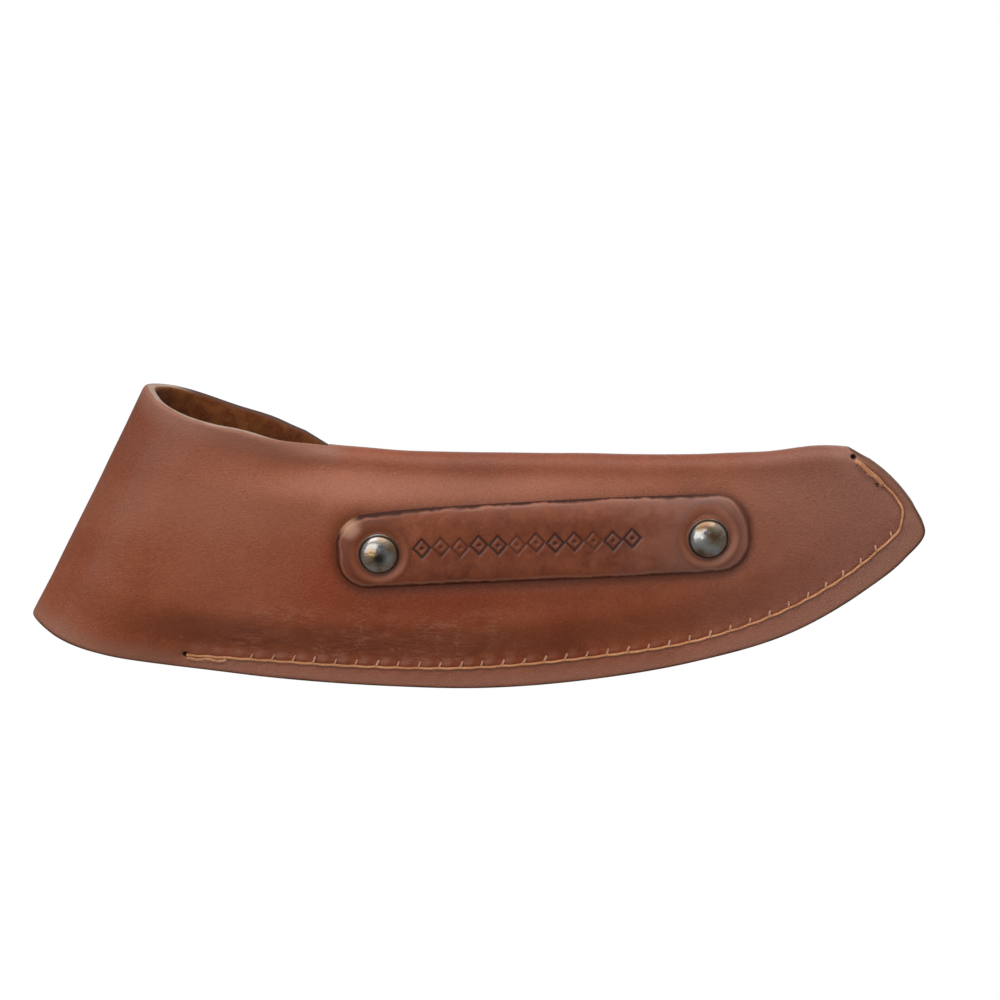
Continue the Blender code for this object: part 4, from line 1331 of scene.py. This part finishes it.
def make_body_leather():
    """Oiled leather outside, raw suede inside, burnished edges, open holes darkened with painted shade, a
    rim painted pale as a highlight, and painted light and shade over the panels.
    """
    s = Shader("oiled_leather")
    along, _, level = s.split(s.place)
    large = s.noise(42, 3, 0.5, 0.4)
    medium = s.noise(9, 4, 0.6, 0.6)
    small = s.noise(1.6, 4, 0.65)
    fine = s.noise(0.65, 3, 0.7)
    rim, inside = s.attribute("rim"), s.span(s.attribute("inside"), 0.55, 0.95)
    from_edge = s.attribute("from_edge")

    # Painted shade: a darker, redder patch below the strap.
    shade_below_strap = s.distance(s.stretched((1, 0, 2.8)), SHADE_BELOW_STRAP_MIDDLE)
    shade_below_strap = s.span(s.plus(shade_below_strap, s.times(large, 0.05), s.times(medium, 0.012)), 0.045, 0.112, 0.7, 0.0)
    uneven_level = s.plus(level, s.times(s.noise(26, 3, 0.6, 0.5), 0.012))
    # Painted highlight: a lighter band above the strap, up towards the fold.
    highlight_above_strap = s.span(uneven_level, 0.045, 0.060, 0.0, 0.45)
    highlight_above_strap = s.times(highlight_above_strap, s.span(uneven_level, 0.061, 0.070, 1.0, 0.1))
    crown = s.span(uneven_level, 0.064, 0.074, 0.0, 0.6)
    # Painted highlight: a lighter patch on the collar, left of the strap.
    shoulder = s.distance(s.stretched((1, 0, 0.6)), COLLAR_HIGHLIGHT_MIDDLE)
    shoulder = s.span(s.plus(shoulder, s.times(large, 0.02)), 0.014, 0.042, 0.45, 0.0)
    from_left = s.plus(along, s.times(level, -0.49), 0.1275)
    # Greyer towards the tip: partly wear, partly painted sheen.
    wear_and_sheen = s.span(s.plus(along, s.times(large, 0.05)), 0.070, 0.135, 0.0, 0.7)
    pores = s.span(s.cells(0.85), 0.0, 0.2, 1.0, 0.0)

    creased, pucker_highlight = s.attribute("creased"), s.attribute("pucker_highlight")
    beside = s.attribute("seam_place", "Vector")
    streaks = s.noise(1.1, 3, 0.55, 0.35, s.stretched((0.24, 1, 1), place=beside))
    ridge = s.span(s.math("ABSOLUTE", s.plus(streaks, -0.5)), 0.0, 0.07, 1.0, 0.0)
    ridge = s.times(s.times(ridge, creased), s.span(s.noise(7, 3, 0.6), 0.36, 0.68))

    shown = s.plus(from_edge, s.span(medium, 0.3, 0.7, -0.1, 0.2))
    edge = s.span(shown, s.mix(rim, 0.3, 0.05), s.mix(rim, 0.95, 0.24), 1.0, 0.0)
    # Painted light: the cut edges at the tip are lighter, and the dark cut is fainter there.
    at_tip = s.times(s.span(level, 0.040, 0.056), s.span(along, 0.07, 0.09))
    edge_colour = s.blend(at_tip, (0.110, 0.048, 0.031), (0.210, 0.095, 0.060))
    # Painted highlight: the rim is pale where its top catches the light.
    edge_colour = s.blend(rim, edge_colour, (0.380, 0.275, 0.212))
    cut = s.times(s.span(from_edge, 0.0, 0.3, 0.8, 0.0), s.plus(1.0, s.times(rim, -1.0)))
    cut = s.times(cut, s.mix(at_tip, 1.0, 0.25))

    suede_patch = s.span(s.noise(8, 4, 0.65, 1.0), 0.36, 0.64)
    suede = s.layered(
        s.blend(suede_patch, (0.105, 0.022, 0.005), (0.190, 0.058, 0.015)),
        (s.span(s.noise(0.5, 3, 0.7), 0.4, 0.75, 0.0, 0.5), (0.200, 0.078, 0.030)),
        (s.span(s.cells(3.2), 0.0, 0.09, 0.6, 0.0), (0.40, 0.30, 0.20)),
    )
    # Painted shade in the stitch holes of the back panel and in the open holes at the seam's ends.
    hole = s.span(s.attribute("hole"), 0.4, 0.85)
    for (x, z), radius in zip(open_holes(), OPEN_HOLE_RADII):
        near = s.spot(x, z, radius, radius + 0.35, 1.0, small, 0.7)
        hole = s.math("MAXIMUM", hole, s.times(near, s.attribute("front")))
    dust = s.times(s.span(s.cells(6.5), 0.0, 0.045, 1.0, 0.0), s.span(s.noise(30, 2), 0.56, 0.64))

    tone = s.ramp(
        s.weighted((large, 0.5), (medium, 0.3), (small, 0.2)),
        (0.32, (0.170, 0.034, 0.008)),
        (0.46, (0.240, 0.051, 0.014)),
        (0.56, (0.285, 0.065, 0.020)),
        (0.70, (0.335, 0.088, 0.033)),
    )
    colour = s.layered(
        tone,
        (shade_below_strap, (0.235, 0.030, 0.001)),
        (highlight_above_strap, (0.330, 0.118, 0.062)),
        (crown, (0.200, 0.050, 0.020)),
        (shoulder, (0.400, 0.140, 0.078)),
        (s.span(from_left, 0.002, 0.020, 0.4, 0.0), (0.150, 0.036, 0.014)),
        (wear_and_sheen, (0.255, 0.112, 0.080)),
        (s.span(fine, 0.50, 0.72, 0.0, 0.30), (0.120, 0.032, 0.014)),
        (s.span(fine, 0.28, 0.50, 0.22, 0.0), (0.430, 0.180, 0.105)),
        (s.times(pores, 0.3), (0.09, 0.022, 0.011)),
        # Painted light: the creased zone above the seam is a little lighter.
        (s.times(creased, 0.3), (0.270, 0.078, 0.032)),
        # Painted highlight on the ridges of the wrinkles above the seam.
        (s.times(ridge, 0.55), (0.430, 0.165, 0.092)),
        # Painted highlight where the puckers rise.
        (s.times(pucker_highlight, 0.5), (0.420, 0.180, 0.120)),
        # Painted light: lighter and greyer within 7.5 mm of the edges, as on the seam margin.
        (s.span(from_edge, 0.6, 7.5, 0.7, 0.0), (0.290, 0.125, 0.080)),
        (inside, suede),
        (edge, edge_colour),
        (cut, (0.030, 0.014, 0.010)),
        # Painted shade on the body round the strap.
        (s.times(s.attribute("strap_shade"), 0.3), (0.050, 0.014, 0.007)),
        (hole, HOLE_SHADE),
        (s.times(dust, 0.7), (0.62, 0.56, 0.50)),
    )
    edge_or_hole = s.math("MAXIMUM", edge, hole)
    matte = s.math("MAXIMUM", inside, edge_or_hole)
    rough = s.span(s.weighted((medium, 0.6), (small, 0.4)), 0.3, 0.7, 0.4, 0.55)
    rough = s.mix(edge_or_hole, s.mix(inside, rough, 0.95), 0.8)
    nap = s.plus(s.noise(0.35, 4, 0.75), s.noise(1.6, 3))
    height = s.mix(inside, s.plus(leather_grain(s, 0.95), s.times(ridge, 1.2)), nap)
    return s.finish(
        Base_Color=colour,
        Roughness=rough,
        Specular_IOR_Level=s.mix(matte, 0.36, 0.1),
        Normal=s.bump(height, 0.1, 0.8),
        Sheen_Weight=s.mix(inside, 0.0, 0.12),
        Sheen_Roughness=0.5,
        Coat_Weight=s.mix(matte, 0.1, 0.0),
        Coat_Roughness=0.34,
    )


def make_strap_leather():
    """Darker leather, burnished at its edges and in the stamped row, worn lighter round the rivets, with
    painted shade along its top edge and round the caps, and painted highlights on its bevel and top left
    corner.
    """
    s = Shader("strap_leather")
    along, _, level = s.split(s.place)
    large = s.noise(24, 3, 0.5, 0.5)
    medium = s.noise(5, 4, 0.6, 0.6)
    small = s.noise(1.3, 4, 0.65)
    stamp = s.attribute("stamp")
    shown = s.plus(s.attribute("from_edge"), s.span(medium, 0.3, 0.7, -0.25, 0.3))
    edge = s.span(shown, 0.5, s.span(s.noise(13, 2), 0.38, 0.6, 0.95, 1.9), 1.0, 0.0)
    # Painted highlight on the bevel next to the edge.
    bevel_highlight = s.times(s.span(shown, 0.8, 1.2), s.span(shown, 1.3, 2.0, 1.0, 0.0))
    # The dark edge is the burnished cut edge with painted shade from the gap above the strap: darker along
    # the top, fainter at the right end.
    edge_and_gap_shade = s.times(s.span(level, 0.037, 0.047, 0.5, 0.9), s.span(along, 0.055, 0.070, 1.0, 0.5))
    # Painted highlight at the strap's top left corner.
    corner = from_strap(4.0 - STRAP_LENGTH / 2, STRAP_WIDTH / 2 - 3.2)
    tone = s.ramp(
        s.weighted((large, 0.45), (medium, 0.35), (small, 0.2)),
        (0.36, (0.105, 0.018, 0.004)),
        (0.47, (0.170, 0.034, 0.008)),
        (0.56, (0.215, 0.050, 0.014)),
        (0.68, (0.315, 0.092, 0.038)),
    )
    colour = s.layered(
        tone,
        (s.span(along, -0.036, -0.012, 0.5, 0.0), (0.140, 0.024, 0.006)),
        (s.span(s.plus(along, s.times(medium, 0.02)), 0.035, 0.080, 0.0, 0.6), (0.240, 0.110, 0.080)),
        (s.times(s.attribute("seat"), 0.5), (0.370, 0.115, 0.047)),
        # Painted shade in the crease round each cap and at the rim of its dish.
        (s.times(s.attribute("ring"), 0.6), (0.085, 0.022, 0.011)),
        (s.span(s.plus(stamp, s.times(medium, 0.3)), 0.25, 0.9, 0.0, 0.85), (0.026, 0.010, 0.008)),
        (s.times(bevel_highlight, 0.35), (0.380, 0.170, 0.110)),
        (s.times(edge, edge_and_gap_shade), (0.040, 0.021, 0.019)),
        (s.spot(*corner, 0.6, 4.2, 0.6, small, 1.6), (0.62, 0.33, 0.20)),
    )
    rough = s.mix(stamp, s.span(medium, 0.3, 0.7, 0.36, 0.52), 0.35)
    return s.finish(
        Base_Color=colour,
        Roughness=s.mix(edge, rough, 0.85),
        Specular_IOR_Level=s.mix(edge, 0.38, 0.05),
        Normal=s.bump(s.plus(leather_grain(s, 0.8), s.times(small, 0.8)), 0.07, 0.6),
        Coat_Weight=s.mix(edge, 0.1, 0.0),
        Coat_Roughness=0.3,
    )


def make_welt_leather():
    s = Shader("burnished_welt")
    fibres = s.noise(0.5, 4, 0.7, 0.5, s.stretched((0.25, 1, 1)))
    stops = ((0.3, (0.075, 0.033, 0.021)), (0.5, (0.150, 0.067, 0.042)), (0.7, (0.215, 0.104, 0.065)))
    rough = s.span(fibres, 0.3, 0.7, 0.6, 0.8)
    normal = s.bump(fibres, 0.08)
    return s.finish(
        Base_Color=s.ramp(fibres, *stops), Roughness=rough, Specular_IOR_Level=0.15, Normal=normal
    )


def make_thread():
    """Waxed fibre with fine streaks. Loops and loose ends are paler and rubbed with leather."""
    s = Shader("waxed_thread")
    streaks = s.noise(0.28, 4, 0.7, 1.5)
    tone = s.weighted((streaks, 0.65), (s.noise(4.5, 3), 0.35))
    places = (0.32, 0.5, 0.68)
    waxed = ((0.33, 0.115, 0.040), (0.62, 0.265, 0.105), (0.76, 0.40, 0.20))
    rubbed = ((0.30, 0.110, 0.060), (0.52, 0.245, 0.150), (0.66, 0.38, 0.25))
    firm, loose = (s.ramp(tone, *zip(places, tints)) for tints in (waxed, rubbed))
    return s.finish(
        Base_Color=s.blend(s.attribute("pale"), firm, loose),
        Roughness=s.span(streaks, 0.3, 0.7, 0.5, 0.75),
        Normal=s.bump(streaks, 0.04),
        Sheen_Weight=0.25,
        Sheen_Roughness=0.5,
    )


def make_rivet_metal(name, bright, shift, cap_reflections=()):
    """Antiqued nickel: smooth with soft patches of brown tarnish, dark in the crease of the rim, with spots
    of painted reflection.
    """
    s = Shader(name)
    place = s.add("ShaderNodeMapping", {"Vector": s.place, "Location": (shift, 0, 0)}).outputs["Vector"]
    patches = s.noise(5.0, 2, 0.5, 0.5, place)
    fine = s.noise(0.5, 4, 0.7, 0.0, place)
    scratches = s.noise(0.5, 3, 0.6, 0.3, s.stretched((0.2, 1, 1), (0, 0.6, 0.4)))
    radius = s.attribute("radius")
    crease = s.times(s.span(radius, 0.84, 0.92), s.span(radius, 0.95, 0.99, 1.0, 0.45))
    tone = s.ramp(
        s.weighted((patches, 0.85), (fine, 0.15)),
        (0.36, (0.230, 0.140, 0.080)),
        (0.47, (0.360, 0.285, 0.215)),
        (0.56, tuple(0.85 * channel for channel in bright)),
        (0.70, bright),
    )
    # Spots of painted reflection.
    spots = [
        (s.spot(*at, 0.15 * reach, reach, share, fine, 0.8), tint) for at, reach, share, tint in cap_reflections
    ]
    rough = s.span(s.weighted((patches, 0.5), (scratches, 0.5)), 0.35, 0.65, 0.3, 0.18)
    return s.finish(
        Base_Color=s.layered(tone, *spots, (s.times(crease, 0.9), (0.030, 0.022, 0.019))),
        Metallic=0.95,
        Roughness=rough,
        Normal=s.bump(s.plus(scratches, s.times(fine, 0.6)), 0.012),
    )


# ---------------------------------------------------------------- pieces

strap_places = {label: rivet_frame(f"label_rivet_cap_{label}", FRONT, -1) for label in ("left", "right")}
lap_places = {label: rivet_frame(f"lap_rivet_cap_{label}", BACK, 1) for label in ("lower", "upper")}
left_x, _, left_z = strap_places["left"][0]
right_x, _, right_z = strap_places["right"][0]
# Painted reflections on the caps, a dark one with a gold one beside it on the left cap and a brown one low
# on the right cap: their middle, reach, share and tint
CAP_REFLECTIONS = [
    ((left_x + 0.2, left_z - 0.9), 3.0, 0.95, (0.035, 0.025, 0.021)),
    ((left_x - 2.2, left_z + 0.5), 2.0, 0.7, (0.400, 0.220, 0.070)),
    ((right_x - 1.8, right_z - 3.6), 2.4, 0.6, (0.100, 0.060, 0.040)),
]
body_leather = make_body_leather()
strap_leather = make_strap_leather()
thread = make_thread()
cap_metal = make_rivet_metal("antique_nickel", (0.45, 0.435, 0.425), 0.0, CAP_REFLECTIONS)
base_metal = make_rivet_metal("nickel_base", (0.44, 0.42, 0.40), 0.05)

make_body(body_leather)
make_welt(make_welt_leather())
make_strap(strap_leather, strap_places.values())
make_front_thread(thread)
make_back_thread(thread)
strap_sizes = (HALF_LEATHER + STRAP_GAP + STRAP_THICKNESS, CAP_RADIUS, CAP_HEIGHT)
lap_sizes = (HALF_LEATHER + LAP_RISE, BACK_CAP_RADIUS, BACK_CAP_HEIGHT)
for seed, (label, place) in enumerate(strap_places.items(), 3):
    make_rivet("strap_rivet", "label_rivet", label, place, *strap_sizes, seed, 0.55)
for seed, (label, place) in enumerate(lap_places.items(), 13):
    make_rivet("tail_rivet", "lap_rivet", label, place, *lap_sizes, seed, 0.3)


# ---------------------------------------------------------------- floor, light and camera

VIEW_ELEVATION = math.radians(12)
FRAME_WIDTH = 268.5
AIM = (6.2, 51.3)
LENS = 200.0
SENSOR = 36.0
FLOOR_ALBEDO = (0.2, 0.2, 0.2)
FLOOR_SIDE = 12.0
FLOOR_DROP = 0.16
LIGHT_AIM = (0, 0, 0.04)


def make_floor(level):
    """A pale floor: plain white to the camera, a soft reflector to the light, and clear from below."""
    mesh = bpy.data.meshes.new("floor")
    corners = [(x * FLOOR_SIDE, y * FLOOR_SIDE, level) for x, y in ((-1, -1), (1, -1), (1, 1), (-1, 1))]
    mesh.from_pydata(corners, [], [(0, 1, 2, 3)])
    floor = bpy.data.objects.new("floor", mesh)
    bpy.context.scene.collection.objects.link(floor)
    s = Shader("floor")
    mesh.materials.append(s.finish(Base_Color=FLOOR_ALBEDO, Roughness=0.9))
    white = s.add("ShaderNodeEmission", {"Color": (1, 1, 1, 1), "Strength": 1.0}).outputs[0]
    clear = s.add("ShaderNodeBsdfTransparent").outputs[0]
    to_camera = s.add("ShaderNodeLightPath").outputs["Is Camera Ray"]
    below = s.add("ShaderNodeNewGeometry").outputs["Backfacing"]
    shown = s.add("ShaderNodeMixShader", {0: to_camera, 1: s.surface.outputs[0], 2: white}).outputs[0]
    sided = s.add("ShaderNodeMixShader", {0: below, 1: shown, 2: clear}).outputs[0]
    s.feed(s.tree.nodes["Material Output"].inputs["Surface"], sided)


def make_light(name, place, size, power):
    """A white softbox aimed at the middle of the sheath."""
    light = bpy.data.lights.new(name, "AREA")
    light.shape = "RECTANGLE"
    light.size, light.size_y = size
    light.energy = power
    lamp = bpy.data.objects.new(name, light)
    lamp.location = place
    lamp.rotation_euler = (Vector(LIGHT_AIM) - Vector(place)).to_track_quat("-Z", "Y").to_euler()
    lamp.visible_camera = False
    bpy.context.scene.collection.objects.link(lamp)


def make_world(above, level, ahead):
    """Plain surroundings: white to the camera, and as light bright above and dim towards the camera."""
    world = bpy.data.worlds.new("studio")
    n = Nodes(world)
    background = n.tree.nodes["Background"]
    background.inputs["Color"].default_value = (1, 1, 1, 1)
    _, forward, upward = n.split(n.add("ShaderNodeTexCoord").outputs["Generated"])
    light = n.times(n.span(upward, 0.0, 0.8, level, above), n.span(forward, -1.0, -0.75, ahead, 1.0))
    to_camera = n.add("ShaderNodeLightPath").outputs["Is Camera Ray"]
    n.feed(background.inputs["Strength"], n.mix(to_camera, light, 1.0))
    bpy.context.scene.world = world


def make_camera():
    camera = bpy.data.objects.new("camera", bpy.data.cameras.new("camera"))
    camera.data.lens = LENS
    camera.data.sensor_width = SENSOR
    away = FRAME_WIDTH * LENS / SENSOR * MM
    back = Vector((0, -math.cos(VIEW_ELEVATION), math.sin(VIEW_ELEVATION)))
    camera.location = Vector((AIM[0] * MM, MIDDLE_Y * MM, AIM[1] * MM)) + back * away
    camera.rotation_euler = (-back).to_track_quat("-Z", "Y").to_euler()
    camera.data.clip_end = 100
    bpy.context.scene.collection.objects.link(camera)
    bpy.context.scene.camera = camera


make_floor(cad_box[0].z - FLOOR_DROP)
make_world(0.66, 0.3, 0.35)
make_light("top_softbox", (-0.1, -0.5, 1.1), (1.6, 1.0), 11)
make_light("front_softbox", (-0.75, -1.6, 0.3), (1.4, 1.2), 11)
make_light("back_softbox", (0.7, 1.6, 0.35), (1.4, 1.2), 8)
make_camera()
bpy.context.scene.view_settings.view_transform = "Standard"

bpy.context.view_layer.update()
